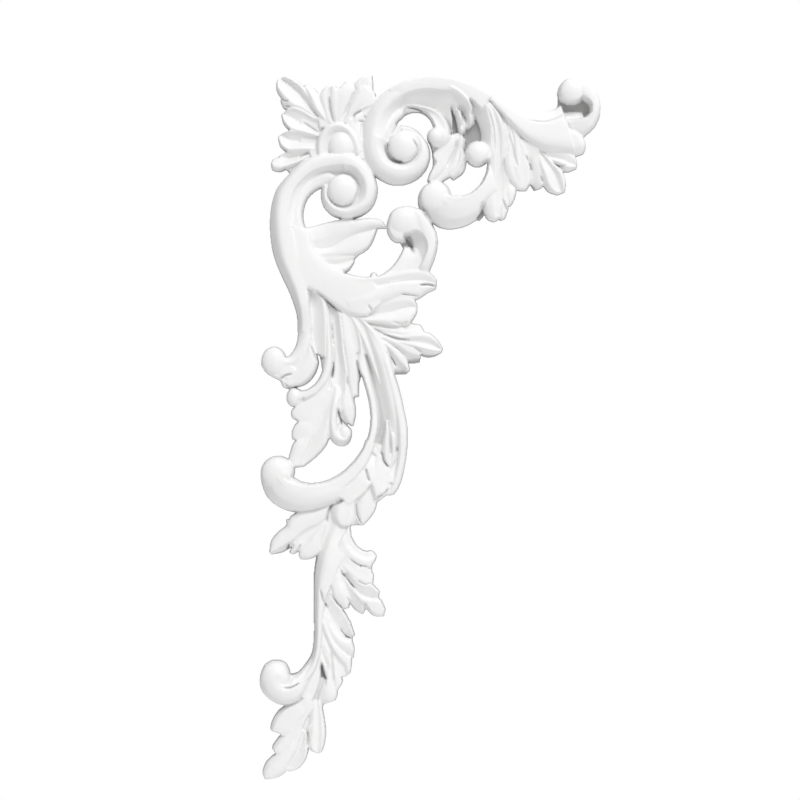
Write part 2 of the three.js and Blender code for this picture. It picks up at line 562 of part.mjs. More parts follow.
// lower left leaf
lobe(
  "ll 1", [[330, 372], [318, 391], [306, 398], [296, 406], [291, 412.5], [293, 419], [300, 421]],
  [[334, 385], [328, 400], [322, 413], [317, 425], [313, 428], [306, 426], [300, 422]],
  [12, 12, 13, 13, 13, 12, 11], [[0, 0.85], [0.4, 1], [1, 0.85]],
);
lobe(
  "ll 2", [[318, 408], [304, 418], [296, 424], [292, 432], [293, 440], [297, 441]],
  [[321, 418], [316, 429], [311, 438], [306, 443], [300, 442], [297, 441.5]], [12, 12, 13, 12, 11],
  [[0, 0.85], [0.4, 1], [1, 0.85]],
);
lobe(
  "ll 3", [[312, 430], [302, 437], [294, 443], [290.5, 452], [289, 460], [293.5, 468]],
  [[316, 425], [311, 438], [306, 450], [302, 460], [300, 466], [295, 468]], [12, 12, 13, 12, 11],
  [[0, 0.85], [0.4, 1], [1, 0.85]],
);
lobe(
  "ll right", [[336, 385], [328, 400], [321, 418], [314, 434], [307, 450], [301, 461], [296, 468]],
  [[339, 405], [331, 420], [328.5, 432], [327.5, 441], [322, 450], [314, 458], [303, 467]],
  [14, 13, 13, 13, 12, 11, 10], [[0, 0.7], [0.3, 0.85], [0.7, 0.97], [1, 0.75]],
);
lobe(
  "e3 hook",
  [[336, 385], [331, 402], [328.5, 418], [329, 432], [332, 441], [341, 446], [348, 443], [351, 434],
    [348, 427.5]],
  [[341, 388], [338, 404], [336, 418], [337.5, 430], [340, 436], [344, 438], [346, 436], [345, 434],
    [344, 433]],
  [10, 13, 15, 15, 15, 15, 15, 15, 15], [[0, 0.65], [0.4, 1], [1, 0.85]], [[0, 0.5], [0.5, 1], [1, 1]],
);

// long right stem
lobe(
  "long stem inner",
  [[340, 308], [350, 313], [356, 330], [360, 348], [357.5, 363], [363, 380], [367.5, 396], [370, 410],
    [370.5, 421], [367.5, 438], [358, 456], [343, 472], [327, 481], [311, 484], [300, 482],
    [292, 477.5]],
  [[350, 311], [355, 320], [360, 335], [363.5, 352], [367.5, 368], [372, 386], [376.5, 405], [378, 425],
    [375, 442], [367, 462], [352, 480], [335, 492], [316, 497], [300, 497], [286, 490]],
  [14, 14, 14, 14, 15, 16, 16, 17, 18, 19, 20, 21, 22, 22, 22],
  [[0, 0.9], [0.3, 1], [0.8, 0.95], [1, 0.75]], [[0, 0.92], [0.25, 1], [0.6, 1], [1, 1]],
);
lobe(
  "long stem outer",
  [[358, 318], [370, 333], [379, 352], [386, 372], [391, 392], [395, 412], [398, 432], [398.5, 452],
    [396, 470], [391, 486], [386, 496]],
  [[363, 319], [377, 332], [387, 350], [393, 371], [399, 390], [403.5, 410], [407, 430], [406.5, 450],
    [403.5, 470], [399, 486], [393, 495.5]],
  [15, 16, 16, 17, 17, 17, 16, 16, 15, 14, 12], [[0, 0.7], [0.3, 1], [0.7, 0.97], [1, 0.65]],
);

// lower C and its lobes
lobe(
  "lower c",
  [[352, 492], [338, 503], [320, 509.5], [298, 512.5], [282, 508.5], [268, 498], [261.3, 481],
    [262, 467], [270, 458.5], [281, 457], [290, 462], [294, 470], [292, 478], [286, 483]],
  [[340, 478], [325, 483], [310, 485], [300, 484], [290, 483], [284, 483], [280, 480], [277, 475],
    [277, 473], [277, 473], [277, 473], [277, 473], [277, 473], [277, 473]],
  [19, 21, 22, 23, 24, 25, 26, 26, 26, 26, 26, 26, 26, 26],
  [[0, 0.2], [0.12, 0.6], [0.28, 0.87], [0.6, 1], [1, 0.97]],
  [[0, 0.12], [0.12, 0.55], [0.3, 0.85], [0.7, 1], [1, 1]],
);
lobe(
  "lc lobe 1", [[362, 478], [352, 493], [342, 502], [334, 507], [332, 515], [336, 523], [344, 526.5]],
  [[366, 472], [362, 488], [357, 500], [356, 510], [356, 518], [353, 525], [345, 527]],
  [17, 17, 17, 17, 17, 16, 14], [[0, 0.7], [0.2, 0.97], [0.55, 0.85], [0.85, 0.95], [1, 0.7]],
  [[0, 0.6], [0.3, 1], [0.7, 0.95], [1, 0.4]],
);
lobe(
  "lc lobe 2", [[365, 470], [361, 487], [357.5, 502], [357, 514], [359, 523], [362, 525.5]],
  [[372, 466], [372, 482], [376, 498], [375, 509], [369, 519], [363, 525.5]], [15, 14, 13, 13, 12, 10],
  [[0, 0.75], [0.3, 0.9], [0.6, 0.8], [1, 0.6]],
);
lobe(
  "lc lobe 3", [[377, 450], [371, 468], [369, 480], [372, 490], [376, 498]],
  [[392, 466], [391, 478], [389, 488], [387, 494], [380, 498.5]], [12, 14, 15, 16, 15],
  [[0, 0.7], [0.25, 1], [0.6, 0.95], [1, 0.75]],
);

// hanging lower section
lobe(
  "ls leaf upper",
  [[330, 505], [314, 510.5], [300, 512], [290, 518], [286.5, 526], [278, 533], [271, 542], [269, 553]],
  [[326, 520], [318, 528], [308, 534], [300, 541], [294, 546], [288, 549], [280, 553], [270, 554.5]],
  [13, 13, 13, 13, 13, 13, 13, 12], [[0, 0.7], [0.2, 1], [0.7, 0.95], [1, 0.7]],
  [[0, 0.6], [0.4, 1], [0.7, 0.9], [0.8, 0.5], [1, 0.1]],
);
lobe(
  "ls leaf lower", [[326, 520], [316, 530], [307, 541], [300, 549], [298.5, 557]],
  [[326, 528], [321, 542], [317.5, 554], [310, 559], [300, 559.5]], [12, 12, 13, 13, 11],
  [[0, 0.75], [0.3, 1], [0.7, 0.9], [1, 0.75]],
);
lobe(
  "ls stem",
  [[333, 504], [328, 518], [321.5, 537], [317, 555], [314.3, 572], [313.8, 600], [313.8, 640],
    [311.5, 655], [305, 666], [298, 673.5], [288, 676]],
  [[350, 524], [350, 537], [345, 552], [338, 566], [332, 582], [325, 600], [322, 620], [321, 640],
    [319, 655], [313, 672], [298, 688]],
  [9, 12, 16, 18, 18, 18, 18, 18, 18, 18, 18],
  [[0, 0.08], [0.3, 0.88], [0.36, 0.97], [0.5, 1], [1, 0.95]],
  [[0, 0], [0.5, 0.93], [0.6, 0.99], [1, 1]],
);
lobe(
  "v1", [[349, 526], [351, 537], [357, 547], [365, 552], [372, 552], [376.3, 556]],
  [[338, 545], [344, 556], [353, 563], [362, 566], [369, 567.5], [376, 560]], [16, 15, 15, 15, 14, 12],
  [[0, 0.85], [0.3, 0.85], [0.6, 1], [1, 0.93]],
);
lobe(
  "v2", [[344, 556], [352, 563], [360, 567], [368, 569], [374, 576]],
  [[342, 566], [350, 574], [358, 581], [366, 584], [373, 584.5]], [14, 14.5, 14.5, 13.5, 12],
  [[0, 0.93], [0.4, 0.95], [0.8, 1], [1, 0.9]],
);
lobe(
  "v3", [[343, 566], [352, 577], [362, 583], [371, 585], [379.5, 592]],
  [[346, 578], [354, 590], [363, 598], [371, 600.5], [379, 599.5]], [12, 14, 15, 15, 14],
  [[0, 1], [1, 0.45]],
);
lobe(
  "v4", [[344, 574], [353, 588.5], [362, 597], [372, 600], [380, 600.5], [385.5, 611]],
  [[345, 578], [353, 592], [360, 601], [366, 609], [374, 616], [384, 616.5]], [11, 13, 15, 16, 16, 14],
  [[0, 0.95], [0.2, 1], [0.8, 0.95], [0.88, 0.6], [1, 0.1]],
);
lobe(
  "v6", [[340, 568], [342, 580], [346, 591], [349, 600], [348.5, 609]],
  [[330, 575], [331, 588], [334, 599], [339, 606], [343, 610.5]], [15, 15, 16, 14, 10],
  [[0, 0.85], [0.4, 1], [0.8, 0.95], [1, 0.6]],
);
lobe(
  "w1", [[328, 580], [331, 592], [336, 604], [344, 613], [350, 624], [354.5, 636.5]],
  [[321, 585], [324, 600], [329, 612], [335, 622], [342, 631], [352, 638]], [12, 13, 14, 14, 13, 11],
  [[0, 1], [1, 0.55]],
);
lobe(
  "w2", [[322, 600], [327, 614], [334, 628], [343, 638], [351, 641], [354.5, 650]],
  [[321, 622], [327, 640], [334, 650], [341, 656], [348, 658.5], [353.5, 658.5]],
  [12, 13, 13, 13, 12, 11], [[0, 0.8], [0.3, 1], [1, 0.5]],
);
lobe(
  "w3", [[322, 612], [328, 630], [336, 646], [345, 655], [351, 660], [350, 674]],
  [[320, 636], [326, 650], [332, 662], [337, 672], [341, 677], [346, 677.5]], [13, 14, 14, 14, 13, 11],
  [[0, 0.95], [0.3, 1], [0.6, 0.75], [1, 0.9]],
);
lobe(
  "w4", [[321, 636], [327, 650], [333, 662], [339, 673], [342, 683], [338, 691]],
  [[319, 655], [324, 668], [327, 682], [326, 692], [326, 700], [333, 700]], [13, 13, 14, 14, 13, 12],
  [[0, 0.75], [0.3, 0.9], [0.6, 0.75], [1, 0.9]],
);
lobe(
  "bottom hook",
  [[320, 650], [317, 664], [313, 676], [308, 688], [300, 700], [291, 705], [279, 705.2], [268, 699],
    [261, 690], [260, 678], [266, 666], [276, 661.5], [285, 664.5], [289.5, 673]],
  [[298, 674], [296, 676], [293, 678], [290, 682], [287, 685], [284, 685], [282, 684], [280, 682],
    [277, 680], [275, 678], [275, 678], [275, 678], [275, 678], [275, 678]],
  [14, 16, 18, 20, 22, 23, 24, 25, 25, 25, 25, 25, 25, 25],
  [[0, 0.3], [0.12, 0.65], [0.3, 0.9], [0.7, 1], [1, 0.85]],
  [[0, 0.15], [0.12, 0.58], [0.3, 0.86], [0.7, 1], [1, 1]],
);
lobe(
  "end 1", [[308, 692], [298, 702], [286, 706.5], [277, 714], [271.5, 724], [271, 732], [279, 734.5]],
  [[314, 706], [306, 716], [300, 726], [294, 735], [288, 738], [284, 737], [280, 735]],
  [13, 13, 14, 14, 14, 13, 11], [[0, 0.35], [0.18, 0.95], [0.7, 0.95], [1, 0.5]],
);
lobe(
  "end 2", [[312, 700], [304, 712], [296, 722], [286, 732], [278, 739.5], [272, 750], [275, 754.5]],
  [[312, 710], [306, 722], [302, 732], [296, 742], [290, 750], [284, 755], [276, 755]],
  [12, 13, 13, 13, 13, 13, 11], [[0, 0.5], [0.3, 1], [0.75, 0.95], [1, 0.4]],
);
lobe(
  "end 3", [[300, 728], [292, 738], [284, 747], [274, 756], [266, 764], [262.5, 775], [265, 781]],
  [[304, 732], [301, 744], [296, 755], [290, 765], [285, 772.5], [276, 779], [266, 781]],
  [13, 13, 14, 14, 14, 13, 11], [[0, 0.35], [0.25, 0.97], [0.6, 0.92], [1, 0.4]],
  [[0, 0.7], [0.4, 1], [0.7, 0.97], [1, 0.7]],
);
lobe(
  "end 5", [[312, 702], [310, 718], [308.5, 732], [307.5, 744], [311, 752], [317, 755]],
  [[320, 700], [323, 716], [325, 732], [324, 744], [321, 753], [318, 755]], [12, 13, 14, 15, 15, 14],
  [[0, 0.7], [0.3, 0.95], [0.6, 0.85], [0.85, 0.95], [1, 0.6]],
);

// grounds that close the gaps between lobes
lobe(
  "small curl lower", [[260.8, 364], [266, 372], [274, 377.5], [280, 380.5], [283.5, 387], [291, 389]],
  [[280, 356], [285, 362], [290, 366], [295, 370], [299, 375], [303, 382]], [10, 14, 14, 14, 13, 11],
  [[0, 0.6], [0.4, 1], [1, 1]],
);
lobe(
  "ground fan upper", [[300, 284], [307, 296], [310, 310], [312, 332], [313, 350]],
  [[330, 288], [342, 304], [350, 318], [356, 335], [361, 358]], [12, 8, 7, 7], FLAT,
);
lobe(
  "ground fan lower", [[318, 348], [322, 366], [322, 386], [300, 400]],
  [[360, 352], [361, 370], [358, 385], [352, 404]], [7], FLAT,
);
lobe("ground q", [[352, 312], [364, 330], [374, 350]], [[376, 308], [384, 324], [388, 342]], [9], FLAT);
lobe(
  "ground q tips", [[372, 326], [384, 334], [396, 342]], [[392, 318], [404, 330], [414, 342]], [9], FLAT,
);
lobe(
  "ground long stem",
  [[358, 330], [362, 350], [364, 372], [372, 400], [375, 430], [368, 455], [345, 484]],
  [[366, 326], [378, 350], [388, 380], [398, 412], [401, 440], [400, 470], [392, 490]], [4], FLAT,
);
lobe(
  "ground lower c", [[366, 440], [358, 462], [346, 482], [338, 500]],
  [[398, 452], [392, 474], [388, 492], [352, 518]], [8], FLAT,
);
lobe(
  "ground lc notch", [[340, 498], [352, 510], [353, 526]], [[378, 480], [372, 500], [361, 526]], [5],
  FLAT,
);
lobe(
  "ground lower leaf", [[300, 404], [300, 424], [296, 446], [298, 462]],
  [[348, 396], [342, 418], [328, 440], [316, 454]], [8], FLAT,
);
lobe(
  "ground stem root", [[325, 506], [318, 530], [318, 545]], [[345, 500], [347, 524], [348, 545]], [8],
  FLAT,
);
lobe(
  "ground ls leaf", [[286, 520], [290, 540], [303, 553]], [[330, 515], [328, 535], [320, 552]], [8],
  FLAT,
);
lobe(
  "ground stem lobes", [[320, 560], [319, 590], [321, 620], [330, 650]],
  [[352, 556], [352, 584], [342, 602], [346, 650]], [8], FLAT,
);
lobe(
  "ground stem foot", [[318, 640], [316, 665], [306, 690], [300, 712]],
  [[340, 648], [334, 672], [328, 694], [320, 712]], [5], FLAT,
);
lobe(
  "ground v tips", [[352, 560], [356, 580], [350, 598]], [[372, 562], [370, 584], [372, 604]], [6], FLAT,
);
lobe(
  "ground bottom hook", [[272, 664], [270, 690], [290, 702]], [[288, 676], [292, 682], [302, 696]], [10],
  FLAT,
);
lobe(
  "ground end leaf", [[296, 704], [284, 726], [280, 746], [272, 770]],
  [[318, 706], [310, 735], [300, 755], [284, 772]], [8], FLAT,
);
lobe(
  "ground palmette left", [[298, 104], [302, 114], [300, 126], [300, 144], [296, 160]],
  [[318, 112], [320, 122], [320, 138], [318, 150], [310, 160]], [9], FLAT,
);
lobe(
  "ground palmette top", [[312, 100], [326, 89], [346, 88], [360, 86]],
  [[322, 120], [334, 118], [348, 116], [366, 106]], [[0, 9], [0.3, 11], [1, 10]], FLAT,
);
lobe(
  "ground ribs", [[488, 100], [496, 130], [498, 160], [494, 190]],
  [[500, 108], [514, 134], [514, 165], [510, 190]], [14, 12, 4, 5], FLAT,
);
lobe(
  "ground right leaf", [[484, 97], [498, 111], [508, 124], [520, 136], [540, 148]],
  [[486, 108], [502, 150], [514, 182], [532, 184], [552, 186]], [[0, 12], [1, 9]],
  [[0, 1], [0.15, 0.9], [0.3, 0.55], [1, 0.55]],
);
lobe("ground r3", [[540, 140], [560, 150], [578, 152]], [[542, 170], [556, 176], [566, 170]], [7], FLAT);
lobe(
  "ground leaflet", [[430, 140], [434, 160], [430, 178]], [[462, 132], [464, 160], [448, 176]], [7],
  FLAT,
);
lobe("ground c", [[446, 186], [458, 200], [470, 196]], [[440, 206], [460, 212], [480, 204]], [12], FLAT);
lobe(
  "ground feather", [[300, 232], [318, 232], [340, 226], [368, 224]],
  [[302, 262], [322, 268], [346, 264], [368, 244]], [8], FLAT,
);
lobe("ground q1", [[364, 282], [384, 284], [404, 282]], [[372, 318], [392, 318], [410, 316]], [9], FLAT);
lobe(
  "ground lower junction", [[374, 446], [364, 464], [350, 481], [334, 493]],
  [[386, 452], [376, 474], [364, 492], [348, 504]], [[0, 5], [0.3, 14], [0.6, 17], [1, 17]], FLAT,
);
lobe(
  "long stem foot", [[378, 434], [375, 448], [368, 462], [356, 478]],
  [[399, 440], [399, 450], [398, 464], [393, 483]], [[0, 2], [0.25, 4], [0.5, 11], [1, 13]],
  [[0, 1], [0.65, 1], [0.85, 0.45], [1, 0.35]], [[0, 1], [1, 1]],
);
lobe(
  "hook shade", [[559.5, 96], [559, 103], [557.5, 108.5], [553, 112]],
  [[584, 96], [590, 103], [591, 110], [587, 117]], [3], FLAT,
);

// The lobes and bosses join into one casting, and everything behind the back plane is cut off.
const behind = new THREE.BoxGeometry(2 * HEIGHT, HEIGHT, 3 * HEIGHT);
behind.translate(0, HEIGHT / 2, 0);
behind.deleteAttribute("normal");
behind.deleteAttribute("uv");
const block = mergeVertices(behind, 1e-3);
const backCut = closedSolid(block.attributes.position.array, [...block.index.array]);
let pending = solids;
while (pending.length > 1) {
  const joined = [];
  for (let i = 0; i < pending.length; i += 2) {
    joined.push(i + 1 < pending.length ? pending[i].add(pending[i + 1]) : pending[i]);
  }
  pending = joined;
}
const casting = pending[0].subtract(backCut);
const mesh = casting.getMesh();
const corners = new Float32Array(mesh.numVert * 3);
for (let i = 0; i < mesh.numVert; i += 1) {
  corners.set(mesh.vertProperties.subarray(i * mesh.numProp, i * mesh.numProp + 3), i * 3);
}
const geometry = new THREE.BufferGeometry();
geometry.setAttribute("position", new THREE.BufferAttribute(corners, 3));
geometry.setIndex(new THREE.BufferAttribute(mesh.triVerts, 1));
geometry.computeVertexNormals();
const paint = new THREE.MeshStandardMaterial({ color: 0xe6e6e3, roughness: 0.45 });
const applique = new THREE.Mesh(geometry, paint);
applique.name = "corner_applique";

const part = new THREE.Group();
part.name = "corner_applique_part";
part.add(applique);

export default part;
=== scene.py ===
import bmesh
import bpy
import numpy as np
from mathutils.geometry import delaunay_2d_cdt
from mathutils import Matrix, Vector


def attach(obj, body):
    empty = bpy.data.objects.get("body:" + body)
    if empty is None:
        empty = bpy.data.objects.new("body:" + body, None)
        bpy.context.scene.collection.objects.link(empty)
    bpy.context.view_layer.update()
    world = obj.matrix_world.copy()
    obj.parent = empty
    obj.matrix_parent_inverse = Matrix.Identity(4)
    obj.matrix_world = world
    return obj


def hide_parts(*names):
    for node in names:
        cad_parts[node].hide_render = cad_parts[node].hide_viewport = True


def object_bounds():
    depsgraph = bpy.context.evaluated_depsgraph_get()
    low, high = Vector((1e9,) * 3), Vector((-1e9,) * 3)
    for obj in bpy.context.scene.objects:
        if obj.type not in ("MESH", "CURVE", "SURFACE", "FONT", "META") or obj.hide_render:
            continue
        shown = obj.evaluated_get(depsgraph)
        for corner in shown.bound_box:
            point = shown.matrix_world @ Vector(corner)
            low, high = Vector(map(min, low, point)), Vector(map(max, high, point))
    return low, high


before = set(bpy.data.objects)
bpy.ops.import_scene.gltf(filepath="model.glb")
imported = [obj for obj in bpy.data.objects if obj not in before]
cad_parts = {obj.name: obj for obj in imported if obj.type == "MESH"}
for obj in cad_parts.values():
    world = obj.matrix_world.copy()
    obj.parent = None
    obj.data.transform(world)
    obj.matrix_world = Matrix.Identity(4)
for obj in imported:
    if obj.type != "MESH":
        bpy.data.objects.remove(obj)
cad_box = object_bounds()

# The casting: one moulded ornament of scrolls, volutes and acanthus leaves with a flat back.
# Its face carries a satin white primer; the back is the bare cast resin, flat and duller.
# The carving is drawn in the squares of a grid of 706 rows over the height, x right and y down.
HEIGHT = 0.636
GRID_ROWS = 706
UNIT = HEIGHT / GRID_ROWS
ORIGIN = (338, 162)

# Samples along each span of a curve and along an edge to measure it, and a turn's steps in
# degrees. Neither points nor slopes that coincide may divide by zero.
SPAN_SAMPLES = 24
LENGTH_SAMPLES = 60
TURN_STEP = 15
FEWEST_TURN_STEPS = 6
SHORTEST_SPAN = 1e-6
SMALLEST_SLOPE = 1e-12


def curve(points, count):
    """Evenly spaced samples of a smooth curve through the points."""
    p = np.asarray(points, float)
    if len(p) == 2:
        t = np.linspace(0, 1, count + 1)[:, None]
        return p[0] * (1 - t) + p[1] * t
    ends = np.vstack([2 * p[0] - p[1], p, 2 * p[-1] - p[-2]])
    t = np.linspace(0, 1, SPAN_SAMPLES, endpoint=False)[:, None]
    spans = []
    for i in range(1, len(ends) - 2):
        p0, p1, p2, p3 = ends[i - 1 : i + 3]
        d0, d1, d2 = (
            max(np.linalg.norm(b - a), SHORTEST_SPAN) ** 0.5
            for a, b in ((p0, p1), (p1, p2), (p2, p3))
        )
        m1 = ((p1 - p0) / d0 - (p2 - p0) / (d0 + d1) + (p2 - p1) / d1) * d1
        m2 = ((p2 - p1) / d1 - (p3 - p1) / (d1 + d2) + (p3 - p2) / d2) * d1
        spans.append(
            (2 * t**3 - 3 * t**2 + 1) * p1
            + (t**3 - 2 * t**2 + t) * m1
            + (-2 * t**3 + 3 * t**2) * p2
            + (t**3 - t**2) * m2
        )
    q = np.vstack(spans + [p[-1:]])
    reach = np.concatenate([[0], np.cumsum(np.linalg.norm(np.diff(q, axis=0), axis=1))])
    even = np.linspace(0, reach[-1], count + 1)
    return np.column_stack([np.interp(even, reach, q[:, 0]), np.interp(even, reach, q[:, 1])])


def values_at(values, t):
    """A smooth run without overshoot through even values, or pairs of place and value."""
    v = np.asarray(values, float)
    x = np.linspace(0, 1, len(v)) if v.ndim == 1 else v[:, 0]
    v = v if v.ndim == 1 else v[:, 1]
    if len(v) == 1:
        return np.full_like(t, v[0])
    if len(v) == 2:
        return np.interp(t, x, v)
    h = np.diff(x)
    d = np.diff(v) / h
    m = np.zeros(len(v))
    same = d[:-1] * d[1:] > 0
    m[1:-1] = np.where(same, 2 * d[:-1] * d[1:] / (d[:-1] + d[1:] + SMALLEST_SLOPE), 0)
    m[0], m[-1] = d[0], d[-1]
    i = np.clip(np.searchsorted(x, t, side="right") - 1, 0, len(x) - 2)
    u = (t - x[i]) / h[i]
    return (
        (2 * u**3 - 3 * u**2 + 1) * v[i]
        + (u**3 - 2 * u**2 + u) * h[i] * m[i]
        + (-2 * u**3 + 3 * u**2) * v[i + 1]
        + (u**3 - u**2) * h[i] * m[i + 1]
    )


def turn(centre, start, end, radii):
    """Points on a turn about a centre: angles in degrees, anticlockwise."""
    count = max(FEWEST_TURN_STEPS, int(abs(end - start) / TURN_STEP))
    t = np.linspace(0, 1, count + 1)
    angle = np.radians(start + (end - start) * t)
    radius = values_at(radii, t)
    return np.column_stack([centre[0] + radius * np.cos(angle), centre[1] - radius * np.sin(angle)])


def edge_length(points):
    return np.linalg.norm(np.diff(curve(points, LENGTH_SAMPLES), axis=0), axis=1).sum()


# Each form is kept under its name as a patch of points on the grid, with a height at each point.
# Its outline grows by this much beyond the edges given for it.
OUTLINE_GROWTH = 0.7
SAMPLE_SPACING = 0.8
FEWEST_SAMPLES = 12
BOSS_SPOKES = 48
BOSS_RINGS = 14
forms = {}

# Sections run across a lobe from its left edge (0) to its right edge (1), as shares of the crest.
ROUND = [[0, 0.66], [0.25, 0.93], [0.5, 1], [0.75, 0.93], [1, 0.66]]
FLAT = [[0, 1], [1, 1]]


def lobe(name, left, right, crest, section, end_section=None):
    """A lobe between two edges: crest heights along it, and a section across it."""
    longest = max(edge_length(left), edge_length(right))
    count = max(FEWEST_SAMPLES, int(longest / SAMPLE_SPACING))
    a, b = curve(left, count), curve(right, count)
    width = np.linalg.norm(a - b, axis=1, keepdims=True)
    across = max(FEWEST_SAMPLES, int(width.max() / SAMPLE_SPACING))
    out = (a - b) / np.maximum(width, 1) * OUTLINE_GROWTH
    a, b = a + out, b - out
    s = np.linspace(0, 1, count + 1)
    u = np.linspace(0, 1, across + 1)
    share = values_at(section, u)[None]
    last = share if end_section is None else values_at(end_section, u)[None]
    share = share * (1 - s[:, None]) + last * s[:, None]
    plan = a[:, None] * (1 - u[None, :, None]) + b[:, None] * u[None, :, None]
    forms[name] = (plan, values_at(crest, s)[:, None] * share)


def shelf(name, left, right, height):
    """Ground between two edges that is level across and follows the heights along it."""
    lobe(name, left, right, height, FLAT)


def boss(name, centre, size, top, rim):
    """An oval button that bulges from the height of its rim to its own height."""
    angle = np.linspace(0, 2 * np.pi, BOSS_SPOKES + 1)
    r = np.linspace(0, 1, BOSS_RINGS + 1)[:, None]
    x = centre[0] + r * (size[0] + OUTLINE_GROWTH) * np.cos(angle)[None]
    y = centre[1] + r * (size[1] + OUTLINE_GROWTH) * np.sin(angle)[None]
    height = rim + (top - rim) * np.sqrt(np.clip(1 - r**2, 0, 1))
    forms[name] = (np.stack([x, y], -1), np.repeat(height, BOSS_SPOKES + 1, 1))


# floors, the sunk ground between raised forms
shelf(
    "palmette floor",
    [(318, 100), (310, 112), (322, 150), (345, 160)],
    [(345, 100), (362, 104), (366, 120), (362, 156)],
    [8],
)
boss("s1 floor", (343, 188), (20, 22), 9, 8)
boss("s2 floor", (402, 149), (24, 24), 9, 8)

# corner palmette: lobes p1 to p9 and the skirt under them
lobe(
    "p1",
    [(324, 124), (313, 115), (298, 108), (290, 106), (282, 98), (276, 87), (277, 78)],
    [(327, 122), (317, 112), (310, 98), (303, 86), (296, 80.5), (286, 76), (277, 78)],
    [12, 14, 16, 13],
    [[0, 0.8], [0.18, 0.95], [0.4, 0.8], [0.7, 0.6], [0.88, 1], [1, 0.85]],
)
lobe(
    "p1a",
    [(280, 99), (284, 107), (291, 110)],
    [(281, 97), (290, 100), (300, 106)],
    [11, 12, 12],
    ROUND,
)
lobe(
    "p1b",
    [(326, 122), (316, 111), (309, 97), (304, 85)],
    [(330, 121), (324, 108), (319, 95), (313, 87.5), (304, 83.5)],
    [13, 17, 17, 14],
    [[0, 0.85], [0.3, 1], [0.6, 0.9], [1, 0.7]],
)
lobe(
    "p2 upper",
    [(321, 133), (308, 127), (297, 122), (286, 116), (281, 116.5)],
    [(326, 121), (313, 116), (301, 109), (291, 107), (281, 114)],
    [12, 13, 14, 11],
    [[0, 0.5], [0.3, 0.6], [0.7, 0.8], [0.88, 1], [1, 0.8]],
)
lobe(
    "p2 lower",
    [(320, 137), (305, 133), (297, 132), (290, 129.5), (283, 122), (281, 115)],
    [(321, 133), (308, 127), (297, 121), (288, 115), (283, 113), (281, 115)],
    [13, 15, 14, 12],
    [[0, 0.85], [0.25, 1], [0.6, 0.75], [1, 0.5]],
)
lobe(
    "p3 upper",
    [(318, 142), (302, 141.5), (290, 139.5), (282, 135), (278, 137.5)],
    [(320, 136), (305, 132.5), (294, 130.5), (285, 131.5), (278, 136)],
    [12, 13, 14, 11],
    [[0, 0.5], [0.3, 0.6], [0.7, 0.8], [0.88, 1], [1, 0.8]],
)
lobe(
    "p3 lower",
    [(318, 150), (300, 150.5), (288, 151), (281, 146.5), (277.5, 138)],
    [(318, 142), (302, 141.5), (290, 140), (282, 136), (277.5, 136)],
    [13, 15, 14, 12],
    [[0, 0.85], [0.25, 1], [0.6, 0.75], [1, 0.5]],
)
lobe(
    "p4 upper",
    [(312, 152.5), (300, 156), (288, 159), (278, 158)],
    [(318, 148), (302, 150), (290, 150.5), (278, 155.5)],
    [12, 13, 12, 11],
    [[0, 0.5], [0.3, 0.6], [0.7, 0.85], [1, 0.8]],
)
lobe(
    "p4 lower",
    [(310, 156), (298, 163), (288, 167), (280, 170.5), (272, 168.5), (270.5, 163)],
    [(312, 152.5), (300, 156), (288, 159), (279, 157), (273, 158.5), (270.5, 162)],
    [12, 14, 14, 12],
    [[0, 0.8], [0.3, 1], [0.65, 0.85], [1, 0.6]],
)
lobe("p5", [(306, 166), (290, 173.5)], [(304, 159), (294, 163), (285, 168)], [10, 9, 8], ROUND)
lobe(
    "p6",
    [(327, 122), (323, 108), (320, 96), (323, 88.5), (329, 83.5)],
    [(333, 124), (329.5, 112), (328, 100), (329, 90), (330, 83.5)],
    [14, 15, 16, 15],
    [[0, 0.85], [0.4, 1], [0.8, 0.97], [1, 0.85]],
)
lobe(
    "p6 right",
    [(334, 124), (331, 110), (330, 100), (331, 92), (331, 84)],
    [(338, 124), (338, 110), (338, 98), (338, 92), (335, 84.5)],
    [14, 16, 17, 15],
    [[0, 0.8], [0.3, 0.97], [0.6, 1], [1, 0.97]],
)
lobe(
    "p7",
    [(337, 124), (337, 108), (337, 96), (339, 88), (347, 79.5)],
    [(341, 124), (346, 110), (351.5, 98), (355, 90), (353, 81.5)],
    [14, 16, 17, 15],
    [[0, 0.97], [0.4, 1], [0.9, 0.93], [1, 0.8]],
)
lobe(
    "p8 base",
    [(342, 124), (348, 110), (353, 97), (356, 88), (355, 82)],
    [(350, 118), (358, 109), (370, 103), (375, 93), (370, 88)],
    [14, 16, 17, 16],
    [[0, 0.75], [0.2, 0.95], [0.6, 1], [1, 0.95]],
)
lobe(
    "p8",
    [(353, 98), (356, 90), (355, 83), (362, 76.5), (370.5, 74)],
    [(362, 102), (371, 97), (372.5, 90), (372.5, 82), (371.5, 74)],
    [15, 17, 17, 14],
    [[0, 0.93], [0.3, 1], [0.6, 0.88], [0.85, 0.85], [1, 1]],
)
lobe(
    "p9",
    [(350, 117), (356, 111), (362, 105), (368, 98), (372, 93.5)],
    [(354, 118.5), (361, 110), (370, 107), (376, 102), (379.5, 98)],
    [14, 17, 17, 16],
    [[0, 0.8], [0.4, 1], [0.9, 0.95], [1, 0.8]],
)
lobe(
    "skirt a",
    [(344, 126), (350, 123), (355, 116), (361, 110.5)],
    [(346, 136), (354, 132), (360, 126), (365, 118)],
    [16, 16, 17, 15],
    [[0, 0.95], [0.3, 1], [0.7, 0.95], [1, 0.8]],
)
lobe(
    "skirt b",
    [(345, 122), (350, 128), (354, 137), (356, 147), (358, 158)],
    [(356, 112), (359.5, 122), (361, 136), (361.5, 148), (364, 160)],
    [16, 17, 18, 18, 18],
    [[0, 0.95], [0.35, 1], [0.7, 0.97], [1, 0.93]],
)

